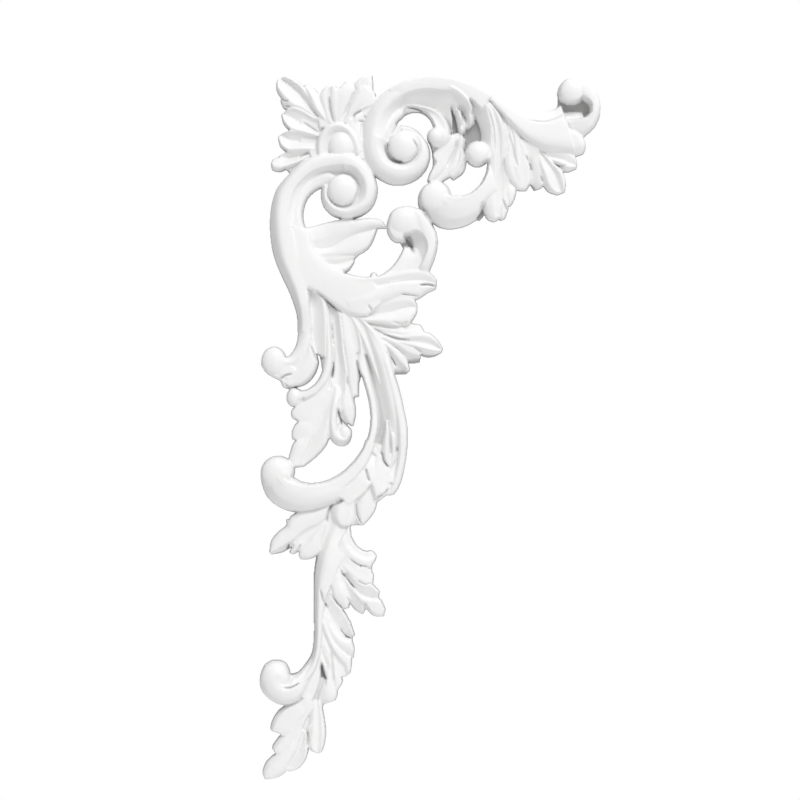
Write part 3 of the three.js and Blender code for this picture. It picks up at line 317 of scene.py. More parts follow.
# bud in the heart of the palmette
lobe(
    "bud hood",
    [
        (317, 156), (317, 143), (322, 132), (330, 125.5), (338, 123.5), (347, 126.5), (355, 136),
        (361, 152),
    ],
    [
        (330, 156), (329, 143), (331, 136), (336, 132), (341, 132), (346, 135.5), (351, 144),
        (354, 156),
    ],
    [17, 19, 21, 22, 21, 20, 19],
    [[0, 0.7], [0.25, 1], [0.4, 0.97], [1, 0.62]],
    [[0, 0.97], [0.3, 1], [0.6, 0.95], [1, 0.75]],
)
boss("bud egg", (341.5, 146), (12.5, 14.5), 22, 14)

# left volute (s1) with the stem that runs down from it
lobe(
    "s1 rim",
    turn((343, 190), 90, -195, [37, 35.5, 34.2, 34, 33.4, 31, 29, 27, 25, 22.5, 20.5]),
    turn((343, 190), 90, -195, [15, 15, 14, 14, 14, 13, 13, 13, 13, 13, 13]),
    [22, 22, 22, 23, 23, 22, 22, 20, 18],
    [[0, 0.8], [0.08, 0.97], [0.25, 1], [0.5, 0.98], [0.55, 0.92], [1, 0.12]],
    [[0, 0.15], [0.14, 0.6], [0.32, 0.92], [0.5, 1], [0.62, 0.9], [1, 0.25]],
)
boss("s1 eye", (343, 190), (14.6, 15.1), 28, 19)
lobe(
    "stem rim",
    [
        (345, 153), (337, 153), (325, 153.5), (310, 157.5), (297, 166), (284, 179), (276, 190),
        (271.5, 205), (270, 222), (270.7, 237), (274, 256), (281.7, 275.5), (290.5, 294.5),
        (297, 315), (298, 332),
    ],
    [
        (345, 165), (338, 165), (325, 167), (311, 172), (301, 181), (293, 193), (290, 205),
        (290, 220), (293, 235), (296, 250), (299, 264), (304, 277), (308, 292), (309, 310),
        (308, 332),
    ],
    [22, 22, 22, 22, 22, 21.5, 20.5, 14.5],
    [[0, 0.5], [0.12, 0.85], [0.3, 1], [0.55, 1], [0.8, 0.97], [1, 0.93]],
    [[0, 0.02], [0.4, 0.95], [0.5, 1], [1, 0.97]],
)
lobe(
    "stem channel",
    [
        (346, 162), (341, 162), (325, 165.5), (311, 171.5), (301, 180), (293, 192), (289, 203),
        (288, 214), (290, 226),
    ],
    [
        (346, 176), (341, 176), (328, 173.5), (316, 177), (306, 186), (300, 196), (297, 208),
        (297, 218), (300, 230),
    ],
    [21, 21, 21, 20, 19.5, 19, 18.5, 18.5],
    [[0, 1], [1, 0.15]],
    [[0, 1], [1, 1]],
)
lobe(
    "inner band",
    [
        (335, 176), (328, 172.5), (316, 176), (306, 185), (299, 196), (296, 208), (295, 222),
        (297, 236),
    ],
    [
        (332, 186), (324, 186), (313, 191.5), (306, 200), (303, 210), (303, 220), (305, 228),
        (308, 240),
    ],
    [14, 14, 14, 15, 16, 17.5, 18.5, 19],
    [[0, 0.85], [0.25, 1], [0.6, 0.95], [1, 0.7]],
    [[0, 1], [0.6, 1], [1, 0.9]],
)

# right volute (s2), and the inner curl (e1) under the arch
lobe(
    "s2 top",
    turn((403, 147), 88.4, 165, [65.5, 56.7, 49.4, 44.6]),
    turn((403, 147), 88.4, 165, [33, 21.5, 16, 15.5]),
    [23, 24, 24, 24],
    [[0, 0.8], [0.12, 0.97], [0.3, 1], [0.38, 0.97], [0.72, 0.36], [0.8, 0.5], [1, 0.55]],
    [[0, 0.2], [0.12, 0.6], [0.3, 0.88], [0.45, 0.98], [0.6, 1], [1, 0.6]],
)
lobe(
    "s2 band",
    turn(
        (403, 147), 158, 455,
        [45.7, 42.4, 40.7, 39.2, 38, 35.5, 32.8, 29.7, 26.5, 23.1, 20, 18, 18],
    ),
    turn((403, 147), 158, 455, [15.5, 16.5, 16.5, 16.5, 16, 15.5, 15.5, 15, 15, 15, 15, 15, 15]),
    [24, 24, 24, 23, 22, 22, 21, 21],
    [[0, 0.2], [0.12, 0.6], [0.3, 0.88], [0.45, 0.98], [0.6, 1], [1, 0.62]],
    [[0, 0.7], [0.3, 0.95], [0.6, 1], [1, 0.8]],
)
boss("s2 eye", (403.3, 146.4), (14.8, 15.2), 29, 20)
lobe(
    "arch channel",
    [
        (398, 95), (406, 92.5), (416, 90), (428, 89), (440, 90.5), (451, 95.5), (459, 102),
        (456, 111), (452.5, 121), (453, 134),
    ],
    [
        (398, 104), (408, 105), (420, 105.5), (430, 108), (438, 113), (445, 119), (448, 124),
        (450, 129), (451, 134), (452, 140),
    ],
    [[0, 20], [0.1, 22], [0.5, 22], [0.7, 18], [0.85, 10], [1, 6]],
    [[0, 0.95], [1, 0.4]],
    [[0, 0.85], [1, 0.05]],
)
lobe(
    "e1 curl",
    [
        (400, 107.5), (406, 104.5), (416, 105), (427, 107), (437, 111.5), (444, 118), (449, 127),
        (450, 136), (446, 143), (438, 147), (431, 144), (427.5, 137),
    ],
    [
        (400, 119), (405, 114.5), (414, 111.5), (423, 113), (430, 118.5), (433, 125), (435, 130),
        (436, 134), (436, 136), *[(436, 137)] * 3,
    ],
    [10, 12, 14, 16, 18, 20, 21, 22, 23, 24],
    [[0, 0.95], [0.12, 1], [0.3, 0.7], [0.75, 0.3], [1, 0.15]],
    [[0, 0.5], [0.3, 0.85], [1, 1]],
)
boss("e1 ball", (436, 136.3), (8.3, 9), 24, 13)

# arch, arm and top right hook, with the first lobe of the right leaf
lobe(
    "arch",
    [
        (388, 89), (402, 81.5), (412, 78), (425, 75.3), (437, 75.2), (450, 77), (465, 81),
        (480, 87), (494, 94),
    ],
    [
        (396, 98), (406, 94), (416, 90.7), (427, 89.3), (440, 90.5), (449, 90), (457, 91.5),
        (468, 98), (482, 110),
    ],
    [[0, 22], [0.15, 24], [0.6, 24], [1, 23]],
    [[0, 0.75], [0.1, 0.95], [0.3, 1], [0.6, 1], [1, 0.97]],
)
lobe(
    "arm",
    [
        (472, 83), (484, 89), (495, 95), (510, 102.5), (525, 108.5), (540, 111), (552, 110),
        (562, 105),
    ],
    [
        (476, 92), (484, 97), (490, 102), (500, 113.5), (510, 125), (520, 135.5), (530, 144),
        (540, 149.5), (550, 152.5), (560, 154), (576, 156),
    ],
    [23, 22, 22, 21, 20, 20, 20],
    [[0, 0.75], [0.1, 0.93], [0.3, 1], [0.7, 1], [0.78, 0.97], [1, 0.55]],
    [[0, 0.55], [0.15, 0.85], [0.4, 0.97], [0.66, 1], [0.8, 0.95], [1, 0.45]],
)
lobe(
    "hook floor",
    [(550, 113), (560, 112.5), (571, 112), (583, 112)],
    [(545, 140), (560, 143), (577, 143), (588, 132)],
    [18, 16, 14, 12],
    [[0, 0.4], [0.3, 0.75], [0.6, 1], [1, 0.95]],
)
lobe(
    "r1",
    [(566, 130), (577, 130.5), (584, 138), (586, 146), (583, 153), (575, 156)],
    [(558, 143), (562, 146), (565, 149), (566, 151), (567, 153), (568, 155)],
    [19, 19, 18, 17, 13, 10],
    [[0, 0.75], [0.3, 1], [1, 1]],
)
lobe(
    "top hook",
    [
        (575, 134), (584, 134.5), (594, 127), (600, 115), (601, 103), (597, 90), (588, 80),
        (576, 77), (566, 79.5), (560, 87), (558.8, 95), (562, 100.5), (570, 103.5), (578, 102),
    ],
    [
        (566, 121), (578, 119), (588, 116), (590.5, 110), (589, 104), (583.5, 99), (579, 95),
        (575, 93), *[(573, 93)] * 6,
    ],
    [16, 18, 20, 21, 22, 22, 22, 22, 22, 21, 21, 21, 21, 21],
    [[0, 0.6], [0.2, 0.92], [0.5, 1], [0.8, 0.95], [1, 0.8]],
    [[0, 0.75], [0.12, 0.93], [0.4, 0.99], [1, 1]],
)
boss("top hook ball", (572.5, 91.5), (12, 12), 23.5, 17)

# right leaf (r2 to r5) and the ribs beside it, down to their tips (b1, b2)
lobe(
    "r2",
    [(545, 150), (557, 151), (569, 151), (576, 157), (578, 164)],
    [(548, 160), (554, 163), (560, 166), (566, 171), (577, 168)],
    [11, 13, 14, 12],
    [[0, 0.7], [0.2, 0.95], [0.55, 0.8], [0.72, 1], [1, 0.45]],
)
lobe(
    "r3",
    [(543, 152), (548, 157), (556, 165), (563, 172), (566, 182), (565, 192)],
    [(536, 150), (538, 162), (541, 172), (543, 181), (548, 190), (558, 194.5)],
    [11, 13, 15, 14, 12],
    [[0, 0.8], [0.15, 1], [0.4, 0.7], [0.75, 1], [0.85, 0.9], [1, 0.4]],
)
lobe(
    "r4",
    [(537, 148), (540, 160), (543, 172), (544, 179), (541.5, 188)],
    [(526, 150), (529, 160), (530, 170), (530, 180), (535, 190)],
    [12, 13, 13, 12],
    [[0, 0.8], [0.5, 1], [1, 0.8]],
    [[0, 1], [0.5, 0.6], [1, 0.1]],
)
lobe(
    "r5",
    [(505, 118), (509, 133), (507, 148), (505, 160), (507, 172), (512, 182), (518, 190)],
    [(514, 128), (521, 140), (526, 150), (529, 162), (530, 175), (530, 183), (526, 190.5)],
    [16, 16, 16, 16, 15, 13],
    [[0, 0.85], [0.15, 1], [0.35, 0.8], [0.5, 1], [0.7, 0.88], [0.9, 0.95], [1, 0.8]],
    [[0, 0.8], [0.3, 1], [0.6, 0.95], [1, 0.85]],
)
lobe(
    "rib 2",
    [(486, 100), (494, 115), (498.5, 131), (499.5, 150), (500, 175)],
    [(492, 104), (501, 117), (507, 130), (507, 148), (503, 163)],
    [20, 20, 19, 17, 10],
    [[0, 0.72], [0.3, 0.97], [0.6, 1], [1, 0.8]],
)
lobe(
    "rib 1",
    [
        (466, 91), (478, 100), (486, 112), (490.5, 127), (491.5, 142), (489, 156), (488, 168),
        (483, 181), (480, 196), (484, 209), (488, 218.5), (495, 221.5),
    ],
    [
        (480, 88), (488, 99), (494, 113), (498, 130), (499.5, 150), (500, 170), (500, 185),
        (500, 200), (499.5, 212), (499, 218), (498, 220),
    ],
    [22, 22, 21, 20, 19, 17, 16, 16, 14],
    [[0, 0.85], [0.2, 1], [0.5, 1], [0.8, 0.9], [1, 0.6]],
    [[0, 0.6], [0.3, 0.9], [0.6, 1], [1, 0.7]],
)
lobe(
    "b1 right",
    [(500, 150), (500, 180), (500, 200), (499, 213), (501, 220.5)],
    [(506, 150), (509, 178), (509, 195), (508.5, 207), (505, 218.5)],
    [14, 14, 13, 14, 12],
    [[0, 0.2], [1, 1]],
    [[0, 0.65], [0.4, 1], [1, 0.75]],
)
lobe(
    "b2",
    [(501, 158), (504, 175), (505, 190), (507, 203), (511, 205.5)],
    [(506, 158), (512, 175), (515, 184), (516, 193), (513, 203)],
    [3, 4, 9, 13, 12],
    [[0, 0.8], [0.5, 1], [1, 0.8]],
)

# right C scroll
lobe(
    "right c",
    [
        (499, 195), (485, 207), (478, 217.5), (466, 225), (452, 228), (440, 226.5), (430, 219.5),
        (421, 209.5), (418.5, 199), (422, 189), (431, 182.5), (440, 181.5), (447, 185.5),
        (450, 191),
    ],
    [
        (488, 160), (486, 173), (480, 184), (471, 192), (462, 195), (454, 195), (449, 204),
        (444, 203), (440, 200), (438, 198), *[(437, 197)] * 4,
    ],
    [17, 20, 22, 23, 24, 25, 25, 26, 26, 26, 26, 26, 26, 26],
    [[0, 0.2], [0.06, 0.5], [0.14, 0.8], [0.26, 0.95], [0.5, 1], [0.85, 0.98], [1, 0.9]],
    [[0, 0.15], [0.1, 0.42], [0.3, 0.75], [0.55, 0.95], [0.8, 1], [1, 1]],
)
boss("right c ball", (434.5, 196.5), (14.5, 14.5), 27, 20)

# deep pocket between the arch and the leaflet, with the curl (e2) that frames it
shelf(
    "pocket floor",
    [(444, 96), (452, 106), (453, 120), (456, 142), (460, 152)],
    [(462, 96), (480, 112), (487, 130), (484, 148), (480, 156)],
    [2.2],
)
lobe(
    "finger",
    [(449, 85.5), (458, 89.5), (465.5, 96), (470.5, 103), (472, 110), (469.5, 115)],
    [(440, 90.5), (451, 95.5), (459, 101.5), (464.5, 107), (467, 111.5), (467.5, 115)],
    [24, 25.5, 25, 23, 18],
    [[0, 0.85], [0.2, 1], [0.5, 0.93], [1, 0.7]],
)
lobe(
    "pocket lobe a",
    [(455, 108), (456, 116), (458, 124), (459, 132)],
    [(460, 110), (464, 118), (466, 126), (464, 133)],
    [16, 17, 15, 12],
    [[0, 0.5], [0.5, 1], [1, 0.6]],
)
lobe(
    "pocket lobe b",
    [(464, 107), (466, 117), (468, 129)],
    [(469, 107), (474, 116), (474, 124)],
    [17, 18, 12],
    [[0, 0.5], [0.5, 1], [1, 0.5]],
)
lobe(
    "e2 band",
    [
        (453, 87), (462, 92), (469, 99), (472.5, 106), (474, 113), (478, 121), (481, 131),
        (481, 141), (477, 146), (472, 150),
    ],
    [
        (454, 85.5), (468, 93), (478, 101), (486, 113), (490.5, 128), (491, 146), (490, 156),
        (486, 162), (475, 166),
    ],
    [[0, 25], [0.15, 23], [0.4, 20], [0.8, 19], [1, 22]],
    [[0, 0.6], [1, 1]],
    [[0, 0.12], [1, 1]],
)
boss("e2 ball", (477.5, 153.5), (11.5, 12.3), 25, 15)

# leaflet (f) under the inner curl
lobe(
    "f left",
    [(447, 136), (446, 143), (438, 148), (433, 156), (436.5, 162), (431, 171), (427.5, 181)],
    [(458, 132), (458, 142), (455, 150), (452, 158), (449, 166), (442, 174), (430, 183)],
    [12, 12, 12, 12, 12, 11],
    [[0, 0.92], [0.25, 1], [0.6, 0.97], [1, 0.7]],
)
lobe(
    "f middle",
    [(458, 136), (457, 146), (453, 155), (449, 165), (440, 174), (430, 182)],
    [(462, 138), (462, 150), (459, 160), (455, 169), (450, 176), (441, 182)],
    [12, 13, 13, 13, 12, 11],
    [[0, 0.55], [0.5, 0.9], [1, 0.75]],
)
lobe(
    "f right",
    [(460, 134), (460, 148), (457, 160), (452, 170), (449.5, 176)],
    [(465, 138), (464, 150), (466, 160), (465, 168), (462, 173), (453, 179.5)],
    [12, 13, 13, 12, 11],
    [[0, 0.6], [0.4, 1], [0.7, 0.8], [1, 0.6]],
)

# left C scroll
lobe(
    "left c stem",
    [(360, 277), (378, 276), (392, 267), (400, 256), (403.5, 248.5), (404, 246)],
    [(372, 284), (398, 281), (416, 276), (424, 266), (426, 256), (420, 249)],
    [16, 17, 17, 16, 15, 11],
    [[0, 0.8], [0.15, 1], [0.5, 0.92], [0.8, 0.95], [1, 1]],
    [[0, 0.9], [0.5, 0.85], [1, 1]],
)
lobe(
    "left hook",
    [
        (427, 275), (433, 262), (437, 248), (437, 236), (433, 225), (424, 212), (412, 206.3),
        (400, 207), (391, 214), (387.5, 224), (389, 235), (396, 241.5), (406, 241),
    ],
    [
        (418, 272), (424, 258), (427, 248), (425, 239), (419, 232.5), (414, 230.5), (409, 226),
        (405, 222), *[(403, 222)] * 5,
    ],
    [15, 20, 22, 23, 23, 23, 23, 22, 22, 22, 22, 22, 22],
    [[0, 0.8], [0.2, 0.97], [0.5, 1], [0.85, 0.97], [1, 0.9]],
    [[0, 0.75], [0.12, 0.93], [0.4, 0.99], [1, 1]],
)
boss("left hook ball", (403.5, 221), (15, 14.5), 25, 17)
boss("left hook floor", (409, 241), (8, 7.5), 3.5, 3)

# feather leaf inside the left volute
lobe(
    "feather top",
    [
        (298, 228), (310, 227), (323, 223.5), (338, 220), (355, 219.5), (370, 218), (380, 220),
        (387, 227),
    ],
    [
        (304, 247), (318, 251), (332, 248.5), (344, 241), (354, 235), (364, 231), (374, 228),
        (387, 227.5),
    ],
    [16, 14, 13, 14, 15, 16, 15, 12],
    [[0, 0.85], [0.2, 0.95], [0.5, 1], [0.75, 0.85], [1, 0.75]],
    [[0, 0.75], [0.3, 1], [0.7, 0.95], [1, 0.6]],
)
lobe(
    "feather low",
    [(304, 247), (318, 250), (332, 248), (344, 241), (356, 235), (368, 231), (378, 227.5)],
    [(300, 260), (318, 258), (335, 256), (352, 255.5), (363, 251.5), (370, 245), (377, 230)],
    [17, 15, 14, 14, 14, 13, 12],
    [[0, 0.8], [0.2, 0.93], [0.55, 1], [0.82, 0.95], [1, 0.6]],
)
lobe(
    "feather under",
    [(302, 254), (318, 255), (335, 255), (348, 254), (354, 257)],
    [(306, 270), (322, 272), (336, 273), (348, 270), (354, 262)],
    [17, 15, 14, 13, 11],
    [[0, 0.95], [0.3, 0.9], [0.5, 0.75], [0.8, 1], [1, 0.7]],
)

# body of the stem and the great leaf, with its lobes (q1 to q6)
lobe(
    "great leaf body",
    [
        (294, 226), (291, 245), (290, 262), (297, 280), (311, 290), (322, 296), (335, 306),
        (350, 314), (368, 316),
    ],
    [
        (309, 232), (313, 248), (326, 263), (342, 272), (356, 277), (366, 280), (374, 284),
        (378, 292), (380, 304),
    ],
    [[0, 19], [0.12, 20], [0.3, 21], [0.5, 21], [0.75, 20], [1, 18]],
    [[0, 1], [0.7, 1], [1, 0.93]],
    [[0, 0.75], [0.12, 0.95], [0.5, 1], [1, 0.95]],
)
lobe(
    "q1 top",
    [(345, 273), (362, 277), (380, 276), (400, 272.5), (418, 270), (430, 273), (437, 280)],
    [(340, 289), (358, 289), (376, 287), (394, 283), (410, 281), (424, 281), (437, 283)],
    [20, 20, 19, 18, 18, 17, 15],
    [[0, 0.95], [0.25, 1], [0.6, 0.93], [1, 0.8]],
)
lobe(
    "q1 bottom",
    [(340, 288), (358, 288), (376, 285), (394, 280), (410, 278), (426, 280), (437, 284)],
    [(352, 312), (370, 306), (386, 301), (400, 297), (416, 299), (428, 292), (436, 288.5)],
    [20, 20, 19, 18, 17, 16, 14],
    [[0, 0.8], [0.3, 0.95], [0.6, 1], [0.85, 0.95], [1, 0.8]],
    [[0, 0.75], [0.3, 1], [0.6, 0.97], [1, 0.7]],
)
lobe(
    "q2 top",
    [(364, 310), (376, 304), (390, 299), (402, 296.5), (412, 297), (417, 304)],
    [(364, 316), (378, 315), (392, 311), (404, 307), (413, 307), (417.5, 308)],
    [15, 15, 16, 16, 15, 13],
    [[0, 0.9], [0.3, 0.8], [0.6, 0.65], [1, 0.6]],
    [[0, 0.9], [0.4, 1], [1, 0.75]],
)
lobe(
    "q2 bottom",
    [(360, 317), (374, 315), (388, 312), (402, 307), (412, 305), (417.5, 306)],
    [(366, 322), (380, 323), (394, 325), (404, 324), (410, 322.5), (417, 313)],
    [16, 16, 16, 15, 14, 12],
    [[0, 0.6], [0.35, 0.95], [0.65, 1], [1, 0.88]],
)
lobe(
    "q3",
    [(362, 320), (378, 321.5), (394, 323), (410, 323.5), (421, 325)],
    [(370, 328), (384, 332), (398, 335), (412, 337), (425, 332)],
    [13, 12, 12, 12, 12, 11],
    [[0, 0.55], [0.3, 0.6], [0.65, 0.95], [1, 0.85]],
)
lobe(
    "q4",
    [(374, 329), (388, 333.5), (402, 336), (414, 333.5), (428, 333), (438, 341), (443, 349)],
    [(388, 340), (400, 344), (410, 348), (417, 352), (424, 356), (434, 356), (442, 352)],
    [12, 13, 14, 14, 14, 13, 11],
    [[0, 0.85], [0.15, 1], [0.45, 0.75], [0.68, 0.95], [0.76, 0.65], [1, 0.1]],
)
lobe(
    "q5",
    [(378, 334), (390, 338), (402, 343), (412, 347), (421, 353)],
    [(384, 342), (394, 350), (402, 356), (407, 362), (420, 362)],
    [13, 13, 13, 12, 10],
    [[0, 0.9], [0.25, 1], [0.6, 0.75], [0.8, 0.7], [0.9, 0.4], [1, 0.2]],
    [[0, 0.95], [0.4, 0.9], [0.55, 0.5], [1, 0.1]],
)
lobe(
    "q6",
    [(370, 331), (382, 339), (393, 347), (402, 355), (408, 364), (409.5, 371)],
    [(374, 340), (380, 350), (387, 359), (389, 367), (394, 373), (406, 374)],
    [13, 13, 13, 13, 12, 10],
    [[0, 0.85], [0.2, 1], [0.5, 0.6], [0.75, 0.85], [1, 0.4]],
    [[0, 0.9], [0.3, 0.9], [0.5, 0.45], [1, 0.1]],
)

# fan of strands below the great leaf
lobe(
    "strand a",
    [(291, 292), (297.5, 312), (298.5, 330), (295, 348), (287, 357), (277, 353)],
    [(306, 296), (309.5, 312), (310.5, 328), (308, 345), (300, 360), (286, 370)],
    [17.5, 16, 15, 15, 15, 15],
    [[0, 0.3], [0.4, 0.8], [0.8, 1], [1, 0.95]],
    [[0, 0.65], [0.2, 0.9], [0.6, 1], [1, 0.8]],
)
boss("small curl ball", (273.5, 361), (12, 13.8), 18, 10)
lobe(
    "strand a lobe",
    [(277, 372), (286, 372), (297, 362), (305, 350), (310.5, 332)],
    [(291, 387.5), (303, 385), (313, 376), (318, 362), (312, 344)],
    [12, 14, 15, 15, 14],
    [[0, 0.8], [0.4, 1], [0.8, 0.9], [1, 0.5]],
)
lobe(
    "strand b",
    [(304, 291), (308, 303), (308.5, 322), (308, 338), (307.5, 352)],
    [(318, 290.5), (322, 299), (324.5, 315), (325, 335), (325, 357)],
    [18, 17, 16, 15],
    [[0, 0.6], [0.12, 0.42], [1, 1]],
)
lobe(
    "strand c",
    [
        (320, 294), (324, 312), (325, 332), (325, 352), (323.5, 366), (318, 380), (308, 389),
        (297, 391.5), (289, 396), (288, 401), (293, 405),
    ],
    [
        (325, 298), (330, 316), (331.5, 335), (333, 352), (332, 366), (327, 380), (318, 391),
        (308, 397), (301, 399), (297, 399), (296, 399),
    ],
    [17, 16, 16, 16, 16, 16, 16, 16, 16, 16, 15],
    [[0, 0.85], [0.4, 1], [0.75, 0.9], [1, 0.55]],
    [[0, 0.7], [0.5, 1], [1, 1]],
)
boss("bud hook ball", (294.5, 397.5), (8, 9), 16, 8)
lobe(
    "valley d",
    [(330, 304), (331.5, 325), (332, 345), (333, 362), (330, 378), (322, 392)],
    [(338, 308), (341, 328), (343, 350), (346, 372), (345, 395), (340, 412)],
    [16, 16, 15, 14, 13, 12],
    [[0, 0.4], [0.15, 0.35], [1, 1]],
)
lobe(
    "strand e",
    [(336, 306), (340, 320), (342, 340), (345, 360), (348, 380), (351, 398)],
    [(348, 313), (350, 330), (355, 350), (357.5, 366), (358, 382), (358, 397)],
    [15, 15, 15, 14, 13, 12],
    [[0, 0.8], [0.3, 1], [0.7, 0.97], [1, 0.7]],
)

# lower left leaf (ll) with its small hook (e3)
lobe(
    "ll 1",
    [(330, 372), (318, 391), (306, 398), (296, 406), (291, 412.5), (293, 419), (300, 421)],
    [(334, 385), (328, 400), (322, 413), (317, 425), (313, 428), (306, 426), (300, 422)],
    [12, 12, 13, 13, 13, 12, 11],
    [[0, 0.85], [0.4, 1], [1, 0.85]],
)
lobe(
    "ll 2",
    [(318, 408), (304, 418), (296, 424), (292, 432), (293, 440), (297, 441)],
    [(321, 418), (316, 429), (311, 438), (306, 443), (300, 442), (297, 441.5)],
    [12, 12, 13, 12, 11],
    [[0, 0.85], [0.4, 1], [1, 0.85]],
)
lobe(
    "ll 3",
    [(312, 430), (302, 437), (294, 443), (290.5, 452), (289, 460), (293.5, 468)],
    [(316, 425), (311, 438), (306, 450), (302, 460), (300, 466), (295, 468)],
    [12, 12, 13, 12, 11],
    [[0, 0.85], [0.4, 1], [1, 0.85]],
)
lobe(
    "ll right",
    [(336, 385), (328, 400), (321, 418), (314, 434), (307, 450), (301, 461), (296, 468)],
    [(339, 405), (331, 420), (328.5, 432), (327.5, 441), (322, 450), (314, 458), (303, 467)],
    [14, 13, 13, 13, 12, 11, 10],
    [[0, 0.7], [0.3, 0.85], [0.7, 0.97], [1, 0.75]],
)
lobe(
    "e3 hook",
    [
        (336, 385), (331, 402), (328.5, 418), (329, 432), (332, 441), (341, 446), (348, 443),
        (351, 434), (348, 427.5),
    ],
    [
        (341, 388), (338, 404), (336, 418), (337.5, 430), (340, 436), (344, 438), (346, 436),
        (345, 434), (344, 433),
    ],
    [10, 13, 15, 15, 15, 15, 15, 15, 15],
    [[0, 0.65], [0.4, 1], [1, 0.85]],
    [[0, 0.5], [0.5, 1], [1, 1]],
)
boss("e3 ball", (345, 434), (6.3, 8), 15, 8)
boss("e3 floor", (339, 424), (4, 13), 7, 6)
lobe(
    "ll tip right",
    [(340, 385), (339, 400), (341, 413), (347, 421.5), (351, 426)],
    [(352, 385), (353, 398), (355, 408), (355, 416), (352.5, 426)],
    [10, 12, 13, 12, 10],
    [[0, 0.65], [0.35, 1], [0.75, 0.95], [1, 0.65]],
)

# long right stem
lobe(
    "long stem inner",
    [
        (340, 308), (350, 313), (356, 330), (360, 348), (357.5, 363), (363, 380), (367.5, 396),
        (370, 410), (370.5, 421), (367.5, 438), (358, 456), (343, 472), (327, 481), (311, 484),
        (300, 482), (292, 477.5),
    ],
    [
        (350, 311), (355, 320), (360, 335), (363.5, 352), (367.5, 368), (372, 386), (376.5, 405),
        (378, 425), (375, 442), (367, 462), (352, 480), (335, 492), (316, 497), (300, 497),
        (286, 490),
    ],
    [14, 14, 14, 14, 15, 16, 16, 17, 18, 19, 20, 21, 22, 22, 22],
    [[0, 0.9], [0.3, 1], [0.8, 0.95], [1, 0.75]],
    [[0, 0.92], [0.25, 1], [0.6, 1], [1, 1]],
)
lobe(
    "long stem channel",
    [
        (354, 318), (360, 335), (364, 352), (368, 368), (372, 385), (377, 405), (378.5, 425),
        (377, 445),
    ],
    [
        (363, 318), (371, 332), (379, 350), (386.5, 369), (391, 388), (395, 408), (398.5, 428),
        (399, 448),
    ],
    [15, 16, 17, 17, 17, 16, 12, 8],
    [[0, 0.6], [0.1, 0.22], [0.85, 0.95], [1, 0.95]],
)
lobe(
    "fan rib",
    [(348, 314), (357, 330), (366, 350), (373, 368), (380, 386)],
    [(352, 314), (362, 330), (371, 350), (376, 368), (381, 386)],
    [14, 15, 14, 12, 10],
    ROUND,
)
lobe(
    "long stem outer",
    [
        (358, 318), (370, 333), (379, 352), (386, 372), (391, 392), (395, 412), (398, 432),
        (398.5, 452), (396, 470), (391, 486), (386, 496),
    ],
    [
        (363, 319), (377, 332), (387, 350), (393, 371), (399, 390), (403.5, 410), (407, 430),
        (406.5, 450), (403.5, 470), (399, 486), (393, 495.5),
    ],
    [15, 16, 16, 17, 17, 17, 16, 16, 15, 14, 12],
    [[0, 0.7], [0.3, 1], [0.7, 0.97], [1, 0.65]],
)
lobe(
    "slit leaf",
    [(387, 420), (385, 432), (383, 446), (383.5, 458), (388.5, 467)],
    [(388.5, 421), (391, 432), (391, 446), (391, 458), (389, 467.5)],
    [13, 15, 16, 15, 13],
    [[0, 0.8], [0.4, 1], [1, 0.6]],
)
lobe(
    "slit rib",
    [(391, 432), (391.5, 446), (391, 458), (389, 468)],
    [(395, 434), (396, 448), (395.5, 460), (391, 472)],
    [11, 13, 13, 11],
    ROUND,
)

# lower C scroll and its lobes (lc)
lobe(
    "lower c",
    [
        (352, 492), (338, 503), (320, 509.5), (298, 512.5), (282, 508.5), (268, 498), (261.3, 481),
        (262, 467), (270, 458.5), (281, 457), (290, 462), (294, 470), (292, 478), (286, 483),
    ],
    [
        (340, 478), (325, 483), (310, 485), (300, 484), (290, 483), (284, 483), (280, 480),
        (277, 475), *[(277, 473)] * 6,
    ],
    [19, 21, 22, 23, 24, 25, 26, 26, 26, 26, 26, 26, 26, 26],
    [[0, 0.2], [0.12, 0.6], [0.28, 0.87], [0.6, 1], [1, 0.97]],
    [[0, 0.12], [0.12, 0.55], [0.3, 0.85], [0.7, 1], [1, 1]],
)
boss("lower c ball", (277, 473), (15.8, 15.8), 26, 16)
lobe(
    "lc lobe 1",
    [(362, 478), (352, 493), (342, 502), (334, 507), (332, 515), (336, 523), (344, 526.5)],
    [(366, 472), (362, 488), (357, 500), (356, 510), (356, 518), (353, 525), (345, 527)],
    [17, 17, 17, 17, 17, 16, 14],
    [[0, 0.7], [0.2, 0.97], [0.55, 0.85], [0.85, 0.95], [1, 0.7]],
    [[0, 0.6], [0.3, 1], [0.7, 0.95], [1, 0.4]],
)
lobe(
    "lc lobe 2",
    [(365, 470), (361, 487), (357.5, 502), (357, 514), (359, 523), (362, 525.5)],
    [(372, 466), (372, 482), (376, 498), (375, 509), (369, 519), (363, 525.5)],
    [15, 14, 13, 13, 12, 10],
    [[0, 0.75], [0.3, 0.9], [0.6, 0.8], [1, 0.6]],
)
lobe(
    "lc lobe 3",
    [(377, 450), (371, 468), (369, 480), (372, 490), (376, 498)],
    [(392, 466), (391, 478), (389, 488), (387, 494), (380, 498.5)],
    [12, 14, 15, 16, 15],
    [[0, 0.7], [0.25, 1], [0.6, 0.95], [1, 0.75]],
)
shelf(
    "lc floor",
    [(364, 446), (373, 442), (378, 450), (374, 462), (368, 474)],
    [(384, 462), (386, 466), (388, 470), (390, 474), (391, 478)],
    [12, 12, 12, 12],
)

